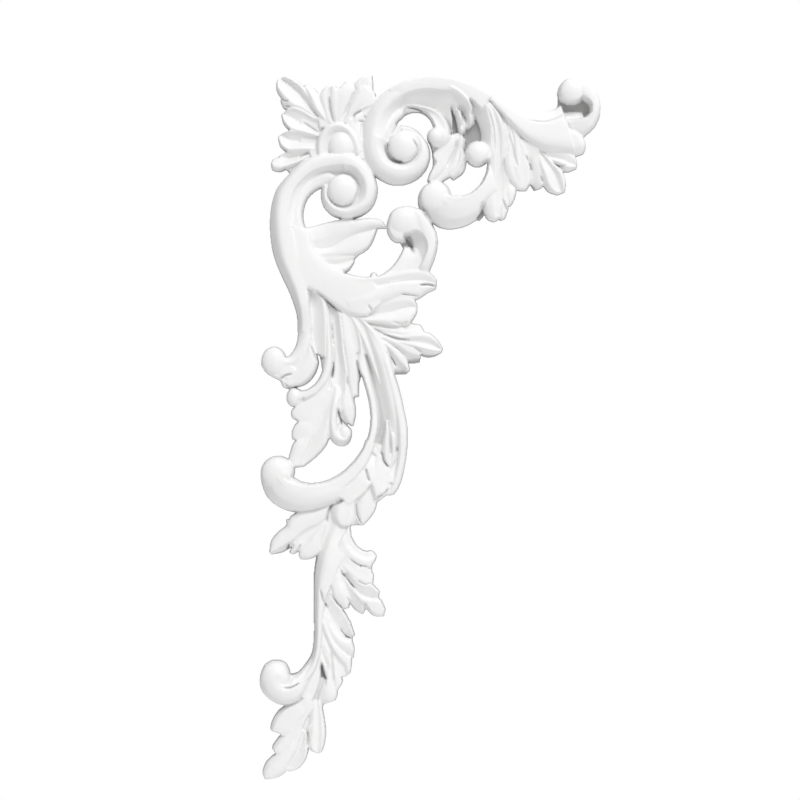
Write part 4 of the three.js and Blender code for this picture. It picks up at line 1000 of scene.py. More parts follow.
# hanging stem (ls) with its side lobes (v, w), the bottom hook and the end leaf
lobe(
    "ls leaf upper",
    [
        (330, 505), (314, 510.5), (300, 512), (290, 518), (286.5, 526), (278, 533), (271, 542),
        (269, 553),
    ],
    [
        (326, 520), (318, 528), (308, 534), (300, 541), (294, 546), (288, 549), (280, 553),
        (270, 554.5),
    ],
    [13, 13, 13, 13, 13, 13, 13, 12],
    [[0, 0.7], [0.2, 1], [0.7, 0.95], [1, 0.7]],
    [[0, 0.6], [0.4, 1], [0.7, 0.9], [0.8, 0.5], [1, 0.1]],
)
lobe(
    "ls leaf middle",
    [(324, 520), (312, 528), (302, 538), (295, 545), (289, 553)],
    [(326, 526), (318, 534), (310, 541), (302, 549), (292, 555)],
    [12, 11, 11, 12, 10],
    [[0, 0.75], [0.5, 0.9], [1, 0.8]],
    [[0, 0.8], [0.5, 1], [1, 0.5]],
)
lobe(
    "ls leaf lower",
    [(326, 520), (316, 530), (307, 541), (300, 549), (298.5, 557)],
    [(326, 528), (321, 542), (317.5, 554), (310, 559), (300, 559.5)],
    [12, 12, 13, 13, 11],
    [[0, 0.75], [0.3, 1], [0.7, 0.9], [1, 0.75]],
)
lobe(
    "ls stem",
    [
        (333, 504), (328, 518), (321.5, 537), (317, 555), (314.3, 572), (313.8, 600), (313.8, 640),
        (311.5, 655), (305, 666), (298, 673.5), (288, 676),
    ],
    [
        (350, 524), (350, 537), (345, 552), (338, 566), (332, 582), (325, 600), (322, 620),
        (321, 640), (319, 655), (313, 672), (298, 688),
    ],
    [9, 12, 16, 18, 18, 18, 18, 18, 18, 18, 18],
    [[0, 0.08], [0.3, 0.88], [0.36, 0.97], [0.5, 1], [1, 0.95]],
    [[0, 0], [0.5, 0.93], [0.6, 0.99], [1, 1]],
)
lobe(
    "v1",
    [(349, 526), (351, 537), (357, 547), (365, 552), (372, 552), (376.3, 556)],
    [(338, 545), (344, 556), (353, 563), (362, 566), (369, 567.5), (376, 560)],
    [16, 15, 15, 15, 14, 12],
    [[0, 0.85], [0.3, 0.85], [0.6, 1], [1, 0.93]],
)
lobe(
    "v2",
    [(344, 556), (352, 563), (360, 567), (368, 569), (374, 576)],
    [(342, 566), (350, 574), (358, 581), (366, 584), (373, 584.5)],
    [14, 14.5, 14.5, 13.5, 12],
    [[0, 0.93], [0.4, 0.95], [0.8, 1], [1, 0.9]],
)
lobe(
    "v3",
    [(343, 566), (352, 577), (362, 583), (371, 585), (379.5, 592)],
    [(346, 578), (354, 590), (363, 598), (371, 600.5), (379, 599.5)],
    [12, 14, 15, 15, 14],
    [[0, 1], [1, 0.45]],
)
lobe(
    "v4",
    [(344, 574), (353, 588.5), (362, 597), (372, 600), (380, 600.5), (385.5, 611)],
    [(345, 578), (353, 592), (360, 601), (366, 609), (374, 616), (384, 616.5)],
    [11, 13, 15, 16, 16, 14],
    [[0, 0.95], [0.2, 1], [0.8, 0.95], [0.88, 0.6], [1, 0.1]],
)
lobe(
    "v5",
    [(342, 574), (350, 586), (358, 598), (363, 606), (365, 611)],
    [(338, 582), (346, 594), (350, 603), (355, 610), (363, 615)],
    [12, 13, 14, 14, 12],
    [[0, 1], [1, 0.5]],
)
lobe(
    "v6",
    [(340, 568), (342, 580), (346, 591), (349, 600), (348.5, 609)],
    [(330, 575), (331, 588), (334, 599), (339, 606), (343, 610.5)],
    [15, 15, 16, 14, 10],
    [[0, 0.85], [0.4, 1], [0.8, 0.95], [1, 0.6]],
)
lobe(
    "w1",
    [(328, 580), (331, 592), (336, 604), (344, 613), (350, 624), (354.5, 636.5)],
    [(321, 585), (324, 600), (329, 612), (335, 622), (342, 631), (352, 638)],
    [12, 13, 14, 14, 13, 11],
    [[0, 1], [1, 0.55]],
)
lobe(
    "w2",
    [(322, 600), (327, 614), (334, 628), (343, 638), (351, 641), (354.5, 650)],
    [(321, 622), (327, 640), (334, 650), (341, 656), (348, 658.5), (353.5, 658.5)],
    [12, 13, 13, 13, 12, 11],
    [[0, 0.8], [0.3, 1], [1, 0.5]],
)
lobe(
    "w3",
    [(322, 612), (328, 630), (336, 646), (345, 655), (351, 660), (350, 674)],
    [(320, 636), (326, 650), (332, 662), (337, 672), (341, 677), (346, 677.5)],
    [13, 14, 14, 14, 13, 11],
    [[0, 0.95], [0.3, 1], [0.6, 0.75], [1, 0.9]],
)
lobe(
    "w4",
    [(321, 636), (327, 650), (333, 662), (339, 673), (342, 683), (338, 691)],
    [(319, 655), (324, 668), (327, 682), (326, 692), (326, 700), (333, 700)],
    [13, 13, 14, 14, 13, 12],
    [[0, 0.75], [0.3, 0.9], [0.6, 0.75], [1, 0.9]],
)
lobe(
    "w5",
    [(330, 660), (332, 672), (333, 684), (337, 694), (334.5, 702)],
    [(326, 672), (324, 682), (320, 692), (319, 700), (325, 705)],
    [12, 13, 14, 13, 10],
    [[0, 0.8], [0.5, 1], [1, 0.7]],
)
lobe(
    "ls stem right",
    [(318, 640), (316, 655), (312, 668), (306, 680), (296, 690)],
    [(324, 652), (321, 666), (319, 682), (314, 696), (308, 706)],
    [12, 12, 13, 13, 12],
    [[0, 0.8], [0.5, 0.9], [1, 0.8]],
)
lobe(
    "bottom hook",
    [
        (320, 650), (317, 664), (313, 676), (308, 688), (300, 700), (291, 705), (279, 705.2),
        (268, 699), (261, 690), (260, 678), (266, 666), (276, 661.5), (285, 664.5), (289.5, 673),
    ],
    [
        (298, 674), (296, 676), (293, 678), (290, 682), (287, 685), (284, 685), (282, 684),
        (280, 682), (277, 680), *[(275, 678)] * 5,
    ],
    [14, 16, 18, 20, 22, 23, 24, 25, 25, 25, 25, 25, 25, 25],
    [[0, 0.3], [0.12, 0.65], [0.3, 0.9], [0.7, 1], [1, 0.85]],
    [[0, 0.15], [0.12, 0.58], [0.3, 0.86], [0.7, 1], [1, 1]],
)
boss("bottom ball", (275, 677.5), (14.3, 16), 25, 14)
lobe(
    "end 1",
    [(308, 692), (298, 702), (286, 706.5), (277, 714), (271.5, 724), (271, 732), (279, 734.5)],
    [(314, 706), (306, 716), (300, 726), (294, 735), (288, 738), (284, 737), (280, 735)],
    [13, 13, 14, 14, 14, 13, 11],
    [[0, 0.35], [0.18, 0.95], [0.7, 0.95], [1, 0.5]],
)
lobe(
    "end 2",
    [(312, 700), (304, 712), (296, 722), (286, 732), (278, 739.5), (272, 750), (275, 754.5)],
    [(312, 710), (306, 722), (302, 732), (296, 742), (290, 750), (284, 755), (276, 755)],
    [12, 13, 13, 13, 13, 13, 11],
    [[0, 0.5], [0.3, 1], [0.75, 0.95], [1, 0.4]],
)
lobe(
    "end 3",
    [(300, 728), (292, 738), (284, 747), (274, 756), (266, 764), (262.5, 775), (265, 781)],
    [(304, 732), (301, 744), (296, 755), (290, 765), (285, 772.5), (276, 779), (266, 781)],
    [13, 13, 14, 14, 14, 13, 11],
    [[0, 0.35], [0.25, 0.97], [0.6, 0.92], [1, 0.4]],
    [[0, 0.7], [0.4, 1], [0.7, 0.97], [1, 0.7]],
)
lobe(
    "end 4",
    [(312, 704), (309, 718), (303, 732), (297, 746), (290, 760), (286, 771)],
    [(316, 708), (312, 722), (307, 735), (308, 748), (304, 762), (296, 770.5), (288, 773)],
    [12, 14, 15, 15, 14, 12],
    [[0, 0.5], [1, 1]],
)
lobe(
    "end 5",
    [(312, 702), (310, 718), (308.5, 732), (307.5, 744), (311, 752), (317, 755)],
    [(320, 700), (323, 716), (325, 732), (324, 744), (321, 753), (318, 755)],
    [12, 13, 14, 15, 15, 14],
    [[0, 0.7], [0.3, 0.95], [0.6, 0.85], [0.85, 0.95], [1, 0.6]],
)

# grounds that close the gaps between lobes
shelf(
    "ground curl",
    [(272, 376), (280, 380), (286, 388)],
    [(284, 362), (294, 368), (300, 380)],
    [13],
)
lobe(
    "small curl lower",
    [(260.8, 364), (266, 372), (274, 377.5), (280, 380.5), (283.5, 387), (291, 389)],
    [(280, 356), (285, 362), (290, 366), (295, 370), (299, 375), (303, 382)],
    [10, 14, 14, 14, 13, 11],
    [[0, 0.6], [0.4, 1], [1, 1]],
)
shelf(
    "ground stem",
    [(286, 212), (286, 232), (289, 250), (298, 274)],
    [(300, 212), (302, 232), (304, 250), (306, 284)],
    [[0, 13], [0.3, 18], [1, 18.5]],
)
shelf(
    "ground fan upper",
    [(300, 284), (307, 296), (310, 310), (312, 332), (313, 350)],
    [(330, 288), (342, 304), (350, 318), (356, 335), (361, 358)],
    [12, 8, 7, 7],
)
shelf(
    "ground fan lower",
    [(318, 348), (322, 366), (322, 386), (300, 400)],
    [(360, 352), (361, 370), (358, 385), (352, 404)],
    [7],
)
shelf("ground q", [(352, 312), (364, 330), (374, 350)], [(376, 308), (384, 324), (388, 342)], [9])
shelf(
    "ground q tips",
    [(372, 326), (384, 334), (396, 342)],
    [(392, 318), (404, 330), (414, 342)],
    [9],
)
shelf(
    "ground long stem",
    [(358, 330), (362, 350), (364, 372), (372, 400), (375, 430), (368, 455), (345, 484)],
    [(366, 326), (378, 350), (388, 380), (398, 412), (401, 440), (400, 470), (392, 490)],
    [4],
)
shelf(
    "ground lower c",
    [(366, 440), (358, 462), (346, 482), (338, 500)],
    [(398, 452), (392, 474), (388, 492), (352, 518)],
    [8],
)
shelf(
    "ground lc notch",
    [(340, 498), (352, 510), (353, 526)],
    [(378, 480), (372, 500), (361, 526)],
    [5],
)
shelf(
    "ground lower leaf",
    [(300, 404), (300, 424), (296, 446), (298, 462)],
    [(348, 396), (342, 418), (328, 440), (316, 454)],
    [8],
)
shelf("ground e3", [(332, 396), (336, 420), (334, 436)], [(350, 396), (351, 412), (348, 424)], [6])
shelf(
    "ground stem root",
    [(325, 506), (318, 530), (318, 545)],
    [(345, 500), (347, 524), (348, 545)],
    [8],
)
shelf(
    "ground ls leaf",
    [(286, 520), (290, 540), (303, 553)],
    [(330, 515), (328, 535), (320, 552)],
    [8],
)
shelf(
    "ground stem lobes",
    [(320, 560), (319, 590), (321, 620), (330, 650)],
    [(352, 556), (352, 584), (342, 602), (346, 650)],
    [8],
)
shelf(
    "ground stem foot",
    [(318, 640), (316, 665), (306, 690), (300, 712)],
    [(340, 648), (334, 672), (328, 694), (320, 712)],
    [5],
)
shelf(
    "ground v tips",
    [(352, 560), (356, 580), (350, 598)],
    [(372, 562), (370, 584), (372, 604)],
    [6],
)
shelf(
    "ground bottom hook",
    [(272, 664), (270, 690), (290, 702)],
    [(288, 676), (292, 682), (302, 696)],
    [10],
)
shelf(
    "ground end leaf",
    [(296, 704), (284, 726), (280, 746), (272, 770)],
    [(318, 706), (310, 735), (300, 755), (284, 772)],
    [8],
)
shelf(
    "ground palmette left",
    [(298, 104), (302, 114), (300, 126), (300, 144), (296, 160)],
    [(318, 112), (320, 122), (320, 138), (318, 150), (310, 160)],
    [9],
)
shelf(
    "ground palmette top",
    [(312, 100), (326, 89), (346, 88), (360, 86)],
    [(322, 120), (334, 118), (348, 116), (366, 106)],
    [[0, 9], [0.3, 11], [1, 10]],
)
boss("stem nick", (373.5, 276.5), (3, 4), 17, 12)
shelf(
    "ground ribs",
    [(488, 100), (496, 130), (498, 160), (494, 190)],
    [(500, 108), (514, 134), (514, 165), (510, 190)],
    [14, 12, 4, 5],
)
lobe(
    "ground right leaf",
    [(484, 97), (498, 111), (508, 124), (520, 136), (540, 148)],
    [(486, 108), (502, 150), (514, 182), (532, 184), (552, 186)],
    [[0, 12], [1, 9]],
    [[0, 1], [0.15, 0.9], [0.3, 0.55], [1, 0.55]],
)
shelf("ground r3", [(540, 140), (560, 150), (578, 152)], [(542, 170), (556, 176), (566, 170)], [7])
shelf(
    "ground leaflet",
    [(430, 140), (434, 160), (430, 178)],
    [(462, 132), (464, 160), (448, 176)],
    [7],
)
shelf("ground c", [(446, 186), (458, 200), (470, 196)], [(440, 206), (460, 212), (480, 204)], [12])
shelf(
    "ground feather",
    [(300, 232), (318, 232), (340, 226), (368, 224)],
    [(302, 262), (322, 268), (346, 264), (368, 244)],
    [8],
)
shelf("ground q1", [(364, 282), (384, 284), (404, 282)], [(372, 318), (392, 318), (410, 316)], [9])
shelf("ground bud left", [(308, 148), (312, 158)], [(322, 146), (324, 160)], [13])
shelf(
    "ground bud right",
    [(350, 128), (350, 146), (352, 162)],
    [(362, 112), (361, 138), (370, 168)],
    [14],
)
shelf(
    "ground fan slit",
    [(346, 312), (350, 330), (354, 352)],
    [(362, 314), (370, 334), (372, 356)],
    [13, 12, 9],
)
shelf("ground v1", [(332, 548), (332, 575)], [(350, 548), (350, 573)], [15, 13])
shelf("ground w1", [(338, 622), (344, 640)], [(350, 622), (352, 644)], [6])
shelf("ground root", [(318, 112), (320, 128)], [(350, 114), (347, 127)], [13])
boss("ground volute root", (367, 110), (6, 6), 15, 14)
shelf(
    "ground lower junction",
    [(374, 446), (364, 464), (350, 481), (334, 493)],
    [(386, 452), (376, 474), (364, 492), (348, 504)],
    [[0, 5], [0.3, 14], [0.6, 17], [1, 17]],
)
lobe(
    "ground arm",
    [(482, 97), (496, 112), (506, 126), (518, 137), (540, 149)],
    [(484, 106), (493, 122), (502, 138), (516, 150), (538, 160)],
    [13.5],
    [[0, 1], [1, 0.8]],
)
lobe(
    "long stem foot",
    [(378, 434), (375, 448), (368, 462), (356, 478)],
    [(399, 440), (399, 450), (398, 464), (393, 483)],
    [[0, 2], [0.25, 4], [0.5, 11], [1, 13]],
    [[0, 1], [0.65, 1], [0.85, 0.45], [1, 0.35]],
    [[0, 1], [1, 1]],
)
lobe(
    "pocket shelf",
    [(451, 96), (459, 102), (465, 108), (467, 114)],
    [(447, 104), (454, 107.5), (460, 111), (464, 116)],
    [15, 14, 12, 9],
    [[0, 1], [1, 0.6]],
)
shelf(
    "hook shade",
    [(559.5, 96), (559, 103), (557.5, 108.5), (553, 112)],
    [(584, 96), (590, 103), (591, 110), (587, 117)],
    [3],
)
lobe(
    "left hook inside",
    [(405, 226), (410, 234), (413.5, 242), (414, 252)],
    [(417, 226), (423, 233), (427, 240), (428, 249), (424.5, 260)],
    [20, 20, 21, 20, 17],
    [[0, 0.3], [1, 1]],
)
shelf(
    "ground wedge",
    [(475, 219.5), (480, 212.5), (483, 203)],
    [(479, 220), (484, 214), (486, 204)],
    [2.2],
)

# Creases are narrow grooves where one form laps over another. Each is given by the reach and
# the depth of the valley that it lies in, and the groove takes these shares of them.
GROOVE_REACH = 0.85
GROOVE_DEPTH = 0.6
GROOVE_SAMPLES = 160
creases = []


def crease(points, reach, depth):
    """A groove along a line: half the width of its valley, and the valley's depth."""
    creases.append((curve(points, GROOVE_SAMPLES), GROOVE_REACH * reach, GROOVE_DEPTH * depth))


crease([(329, 98), (331, 112), (333.5, 122)], 1.1, 7)
crease([(354, 92), (348, 106), (342, 119)], 1, 6)
crease([(352, 118.5), (356, 113.5), (361, 110.5)], 1.3, 10)
crease([(359, 121), (363, 121.5)], 1.2, 8)
crease([(303, 122), (311, 127), (318, 132)], 0.9, 6)
crease([(298, 157), (309, 152)], 0.9, 5)
crease([(281, 97.5), (284, 100), (288, 101)], 1.2, 8)
crease([(285, 105), (290, 106.5)], 1.1, 7)
crease([(385, 146), (386.5, 153), (392, 160.3), (403, 163)], 1.6, 14)
crease([(413, 141), (417, 148), (416, 155), (411, 160)], 1.3, 9)
crease([(407, 106.5), (416, 108), (425, 112.5), (431, 119.5)], 1.6, 10)
crease([(451.5, 106), (453, 114), (455.5, 124), (458, 132)], 2, 14)
crease([(462, 111), (463, 120), (462, 128)], 1.2, 12)
crease([(463.5, 146), (465.5, 153), (469, 160)], 1.4, 10)
crease([(457, 140), (455, 150), (450.5, 158), (447, 166)], 1.1, 7)
crease([(482, 203), (480, 211)], 1.3, 9)
crease([(503, 200), (507, 210)], 1.3, 8)
crease([(488, 110), (493, 128), (494.5, 150)], 0.9, 4)
crease([(500, 112), (505.5, 130), (507, 146)], 0.9, 5)
crease([(509, 135), (513, 150), (517, 166)], 1.1, 6)
crease([(526, 156), (529, 162), (532, 170)], 1.3, 9)
crease([(541, 176), (543, 182)], 1.3, 8)
crease([(553, 163), (559, 165.5), (566, 165)], 1, 7)
crease([(530, 121.5), (545, 122.5), (556, 119.5), (567, 113)], 0.9, 3)
crease([(316, 291), (324, 298), (333, 306), (341, 312.5)], 1.5, 10)
crease([(331, 320), (332, 338), (333, 355), (332.5, 372), (329, 388)], 1.6, 10)
crease([(311, 346), (314.5, 355), (318, 360), (323, 357)], 1.5, 10)
crease([(280, 379), (285, 375.5), (291, 374)], 1.3, 9)
crease([(284, 384), (290, 387.5), (297, 386.5)], 1.3, 8)
crease([(373, 328), (385, 334), (397, 338), (409, 339.5)], 1.2, 9)
crease([(386, 352), (393, 360), (396, 366)], 1, 6)
crease([(393, 322), (401, 323.5), (408, 321.5)], 0.9, 5)
crease([(418, 296), (411, 295), (401, 294)], 1, 7)
crease([(420, 285), (428, 284.5), (437, 286.5)], 1.5, 12)
crease([(368, 305), (372, 311)], 1.2, 6)
crease([(387, 419), (389.5, 432), (391, 454)], 1.2, 11)
crease([(382, 452), (384, 461), (388.5, 467)], 1.4, 11)
crease([(366, 469), (367, 475), (369.5, 481)], 1.4, 10)
crease([(376, 497.5), (384, 494), (388, 489)], 1.4, 9)
crease([(337.5, 409), (340, 418), (341.5, 425)], 1.5, 9)
crease([(340, 418), (346, 425)], 0.9, 6)
crease([(333, 503), (328, 512), (326.5, 523)], 1.4, 9)
crease([(355.5, 503), (357, 514), (361, 524)], 1.3, 9)
crease([(289, 543), (287, 551)], 1.4, 9)
crease([(300, 545), (297, 551)], 1.2, 7)
crease([(350, 559), (358, 564.5), (368, 567)], 1.1, 7)
crease([(341, 571), (347, 579.5), (354, 588)], 1.3, 9)
crease([(357, 580.5), (364, 584), (371, 584)], 1.1, 7)
crease([(348, 598), (350, 606)], 1.3, 8)
crease([(364, 603), (369, 610)], 1.4, 9)
crease([(320.5, 590), (323, 600), (327, 608)], 1.3, 9)
crease([(331, 595), (338, 604), (343, 609)], 1.2, 7)
crease([(340, 629), (346, 637), (351, 639)], 1.1, 7)
crease([(331, 653), (332.5, 668), (333.5, 682)], 1.1, 7)
crease([(321, 664), (322, 678)], 1.4, 9)
crease([(326, 676), (324.5, 686)], 1.1, 6)
crease([(423, 213), (429, 220), (434, 229)], 1.6, 12)
crease([(484, 203), (481.5, 211), (477, 218)], 1.8, 14)
crease([(357, 361), (358.5, 368), (360.5, 376)], 1.2, 12)
crease([(284, 687), (291, 687), (299, 683)], 1.2, 9)
crease([(403, 237), (409, 243), (413.5, 252)], 1.6, 12)
crease([(307, 730), (307.5, 738), (307, 748)], 1.5, 12)
crease([(321, 668), (323, 674), (326, 680)], 1.6, 12)


# The highest form counts at each point of an even grid that covers the outline with a margin.
GRID_STEP = 0.65
GRID_LOW = np.array([250.0, 62.0])
GRID_HIGH = np.array([612.0, 794.0])
NO_FORM = -1.0
SMALLEST_AREA = 1e-9
TOUCHING = 1e-6


def patch_triangles(values):
    """Both triangles of every cell of a patch, with the values at their corners."""
    corners = [values[:-1, :-1], values[1:, :-1], values[1:, 1:], values[:-1, 1:]]
    halves = ((0, 1, 2), (0, 2, 3))
    tail = values.shape[2:]
    return np.concatenate(
        [np.stack([corners[k] for k in half], 2).reshape(-1, 3, *tail) for half in halves]
    )


def drawn_heights():
    """The highest form over each point of the grid, and NO_FORM where there is none."""
    nx, ny = (int((GRID_HIGH[k] - GRID_LOW[k]) / GRID_STEP) + 1 for k in (0, 1))
    heights = np.full((ny, nx), NO_FORM)
    for plan, z in forms.values():
        tri, lev = (patch_triangles(plan) - GRID_LOW) / GRID_STEP, patch_triangles(z)
        side1, side2 = tri[:, 1] - tri[:, 0], tri[:, 2] - tri[:, 0]
        area = side1[:, 0] * side2[:, 1] - side1[:, 1] * side2[:, 0]
        real = np.abs(area) > SMALLEST_AREA
        tri, lev, area, side1, side2 = tri[real], lev[real], area[real], side1[real], side2[real]
        first = np.floor(tri.min(1)).astype(int)
        reach = int((np.ceil(tri.max(1)).astype(int) - first).max()) + 1
        for i, j in np.ndindex(reach, reach):
            gx, gy = first[:, 0] + i, first[:, 1] + j
            dx, dy = gx - tri[:, 0, 0], gy - tri[:, 0, 1]
            w1 = (dx * side2[:, 1] - side2[:, 0] * dy) / area
            w2 = (side1[:, 0] * dy - dx * side1[:, 1]) / area
            inside = (w1 >= -TOUCHING) & (w2 >= -TOUCHING) & (w1 + w2 <= 1 + TOUCHING)
            inside &= (gx >= 0) & (gy >= 0) & (gx < nx) & (gy < ny)
            level = lev[:, 0] * (1 - w1 - w2) + lev[:, 1] * w1 + lev[:, 2] * w2
            np.maximum.at(heights, (gy[inside], gx[inside]), level[inside])
    return heights


# The mould lets walls that look down lean back the most; the others stand nearly as steep as
# those that look up. Slopes are rise over run.
LEANING_SLOPE = 6.5
STEEP_SLOPE = 10.0
SIDE_STEEPNESS = 0.9


def with_draft(heights):
    """Limits how steeply the carving falls from each point towards its neighbours."""
    moves = [(1, 0), (0, 1), (1, 1), (1, -1), (1, 2), (2, 1), (-1, 2), (-2, 1)]
    moves += [(-a, -b) for a, b in moves]
    rises = []
    for dy, dx in moves:
        upward = -dy / np.hypot(dx, dy)
        steepness = np.clip(SIDE_STEEPNESS + upward, 0, 1)
        slope = LEANING_SLOPE * (STEEP_SLOPE / LEANING_SLOPE) ** steepness
        rises.append(slope * GRID_STEP * np.hypot(dx, dy))
    ny, nx = heights.shape
    while True:
        lower = heights.copy()
        pad = np.pad(heights, 2, mode="edge")
        for (dy, dx), rise in zip(moves, rises):
            near = pad[2 + dy : 2 + dy + ny, 2 + dx : 2 + dx + nx]
            np.minimum(lower, near + rise, out=lower)
        if np.array_equal(lower, heights):
            return heights
        heights = lower


# A groove starts and ends narrower than in its middle, and never cuts below the lowest face.
GROOVE_MARGIN = 3
END_FADE = 1.6
END_WIDTH = 0.25
GROOVE_STEEPNESS = 1.6
LOWEST_FACE = 1


def creased(heights):
    """Cuts the creases into the carving; each groove fades out towards its ends."""
    for line, reach, depth in creases:
        first = np.floor((line.min(0) - GROOVE_MARGIN - GRID_LOW) / GRID_STEP).astype(int)
        last = np.ceil((line.max(0) + GROOVE_MARGIN - GRID_LOW) / GRID_STEP).astype(int)
        rows, cols = np.mgrid[first[1] : last[1] + 1, first[0] : last[0] + 1]
        spot = np.stack([GRID_LOW[0] + cols * GRID_STEP, GRID_LOW[1] + rows * GRID_STEP], -1)
        gap = np.linalg.norm(spot[:, :, None] - line, axis=-1)
        along = np.linspace(-1, 1, len(line))
        fade = np.minimum(1, END_FADE - END_FADE * np.abs(along) ** 2)
        cut = np.max((1 - gap / reach) * (END_WIDTH + (1 - END_WIDTH) * fade), axis=-1)
        heights[rows, cols] -= depth * np.clip(GROOVE_STEEPNESS * cut, 0, 1)
    return np.maximum(heights, LOWEST_FACE)


BLUR_REACH = 3


def softened(values, sigma):
    """A blur as wide as sigma cells, with the values at the grid's edge held beyond it."""
    r = max(1, int(BLUR_REACH * sigma + 0.5))
    g = np.exp(-0.5 * (np.arange(-r, r + 1) / sigma) ** 2)
    g /= g.sum()
    pad = np.pad(values, ((r, r), (0, 0)), mode="edge")
    values = sum(g[i] * pad[i : i + values.shape[0]] for i in range(2 * r + 1))
    pad = np.pad(values, ((0, 0), (r, r)), mode="edge")
    return sum(g[i] * pad[:, i : i + values.shape[1]] for i in range(2 * r + 1))


def largest_piece(mask):
    """The largest connected part of the mask, without corners that only touch."""
    label = np.where(mask, np.arange(mask.size).reshape(mask.shape), -1)
    while True:
        pad = np.pad(label, 1, constant_values=-1)
        near = np.max([pad[1:-1, 2:], pad[1:-1, :-2], pad[2:, 1:-1], pad[:-2, 1:-1], label], axis=0)
        near = np.where(mask, near, -1)
        near = np.where(mask, near.ravel()[np.maximum(near, 0)], -1)
        if np.array_equal(near, label):
            break
        label = near
    ids, counts = np.unique(label[mask], return_counts=True)
    return label == ids[counts.argmax()]


OUTLINE_SOFTENING = 0.55
FACE_SOFTENING = 0.5
drawn = drawn_heights()
cover = softened((drawn >= 0).astype(float), OUTLINE_SOFTENING / GRID_STEP)
relief = creased(with_draft(np.maximum(drawn, 0)))
relief = softened(relief, FACE_SOFTENING / GRID_STEP)

# Cells whose four corners lie inside the outline carry the face; the outline's own vertices move
# onto the half level of the cover, where the wall meets the back.
inside = largest_piece(cover >= 0.5)
cell = inside[:-1, :-1] & inside[1:, :-1] & inside[1:, 1:] & inside[:-1, 1:]
while True:
    cell = largest_piece(cell)
    one, two = cell[:-1, :-1] & cell[1:, 1:], cell[:-1, 1:] & cell[1:, :-1]
    clash = (one & ~cell[:-1, 1:] & ~cell[1:, :-1]) | (two & ~cell[:-1, :-1] & ~cell[1:, 1:])
    if not clash.any():
        break
    rows, cols = np.nonzero(clash)
    cell[rows, cols] = cell[rows + 1, cols + 1] = False
    cell[rows, cols + 1] = cell[rows + 1, cols] = False
rows, cols = np.nonzero(cell)
used = np.zeros_like(inside)
for dr in (0, 1):
    for dc in (0, 1):
        used[rows + dr, cols + dc] = True
number = np.full(inside.shape, -1)
number[used] = np.arange(used.sum())
around = np.pad(cell, 1)
whole = around[:-1, :-1] & around[1:, :-1] & around[1:, 1:] & around[:-1, 1:]
edge = used & ~whole
FLATTEST = 1e-4
FARTHEST_MOVE = 0.9
slope_y, slope_x = np.gradient(cover)
steep = np.maximum(slope_x**2 + slope_y**2, FLATTEST)
step_x = np.clip((0.5 - cover) * slope_x / steep, -FARTHEST_MOVE, FARTHEST_MOVE)
step_y = np.clip((0.5 - cover) * slope_y / steep, -FARTHEST_MOVE, FARTHEST_MOVE)
grid_y, grid_x = np.mgrid[0 : inside.shape[0], 0 : inside.shape[1]].astype(float)
grid_x = np.where(edge, grid_x + step_x, grid_x)
grid_y = np.where(edge, grid_y + step_y, grid_y)
level = np.where(edge, 0, relief)
corner = np.column_stack(
    [
        (GRID_LOW[0] + grid_x[used] * GRID_STEP - ORIGIN[0]) * UNIT,
        -level[used] * UNIT,
        (ORIGIN[1] - GRID_LOW[1] - grid_y[used] * GRID_STEP) * UNIT,
    ]
)

# The casting keeps just inside the box of the solid; its back lies on the box.
BOX_CLEARANCE = 2e-5
box_low = np.array(cad_box[0]) + BOX_CLEARANCE
box_high = np.array(cad_box[1]) - [BOX_CLEARANCE, 0, BOX_CLEARANCE]
corner = np.clip(corner, box_low, box_high)

# The flat back closes the outline with triangles that only use the outline's own vertices.
front = np.column_stack(
    [number[rows, cols], number[rows + 1, cols], number[rows + 1, cols + 1], number[rows, cols + 1]]
)
across = np.argwhere(around[:-1, 1:-1] != around[1:, 1:-1])
down = np.argwhere(around[1:-1, :-1] != around[1:-1, 1:])
rim_edges = np.vstack(
    [
        np.column_stack([number[tuple(across.T)], number[tuple((across + [0, 1]).T)]]),
        np.column_stack([number[tuple(down.T)], number[tuple((down + [1, 0]).T)]]),
    ]
)
rim = np.unique(rim_edges)
place = np.zeros(len(corner), int)
place[rim] = np.arange(len(rim))
spots = np.argwhere(used)[rim][:, ::-1]
rim_points = [Vector(p) for p in spots.tolist()]
filled = delaunay_2d_cdt(rim_points, place[rim_edges].tolist(), [], 1, TOUCHING)
back = np.array([[filled[3][k][0] for k in face] for face in filled[2]])
a, b, c = (spots[back[:, k]] for k in range(3))
turned = (b[:, 0] - a[:, 0]) * (c[:, 1] - a[:, 1]) - (b[:, 1] - a[:, 1]) * (c[:, 0] - a[:, 0]) < 0
back[turned] = back[turned][:, ::-1]
col, row = ((a + b + c) / 3).astype(int).T
back = rim[back[cell[row, col]]]

# The face takes the first material, shaded smooth, and the back takes the second, shaded flat.
casting_mesh = bpy.data.meshes.new("casting")
casting_mesh.from_pydata(corner.tolist(), [], front.tolist() + back.tolist())
kinds = np.repeat([0, 1], [len(front), len(back)])
casting_mesh.polygons.foreach_set("material_index", kinds)
casting_mesh.polygons.foreach_set("use_smooth", kinds == 0)
casting_mesh.update(calc_edges=True)
casting = bpy.data.objects.new("casting", casting_mesh)
bpy.context.scene.collection.objects.link(casting)

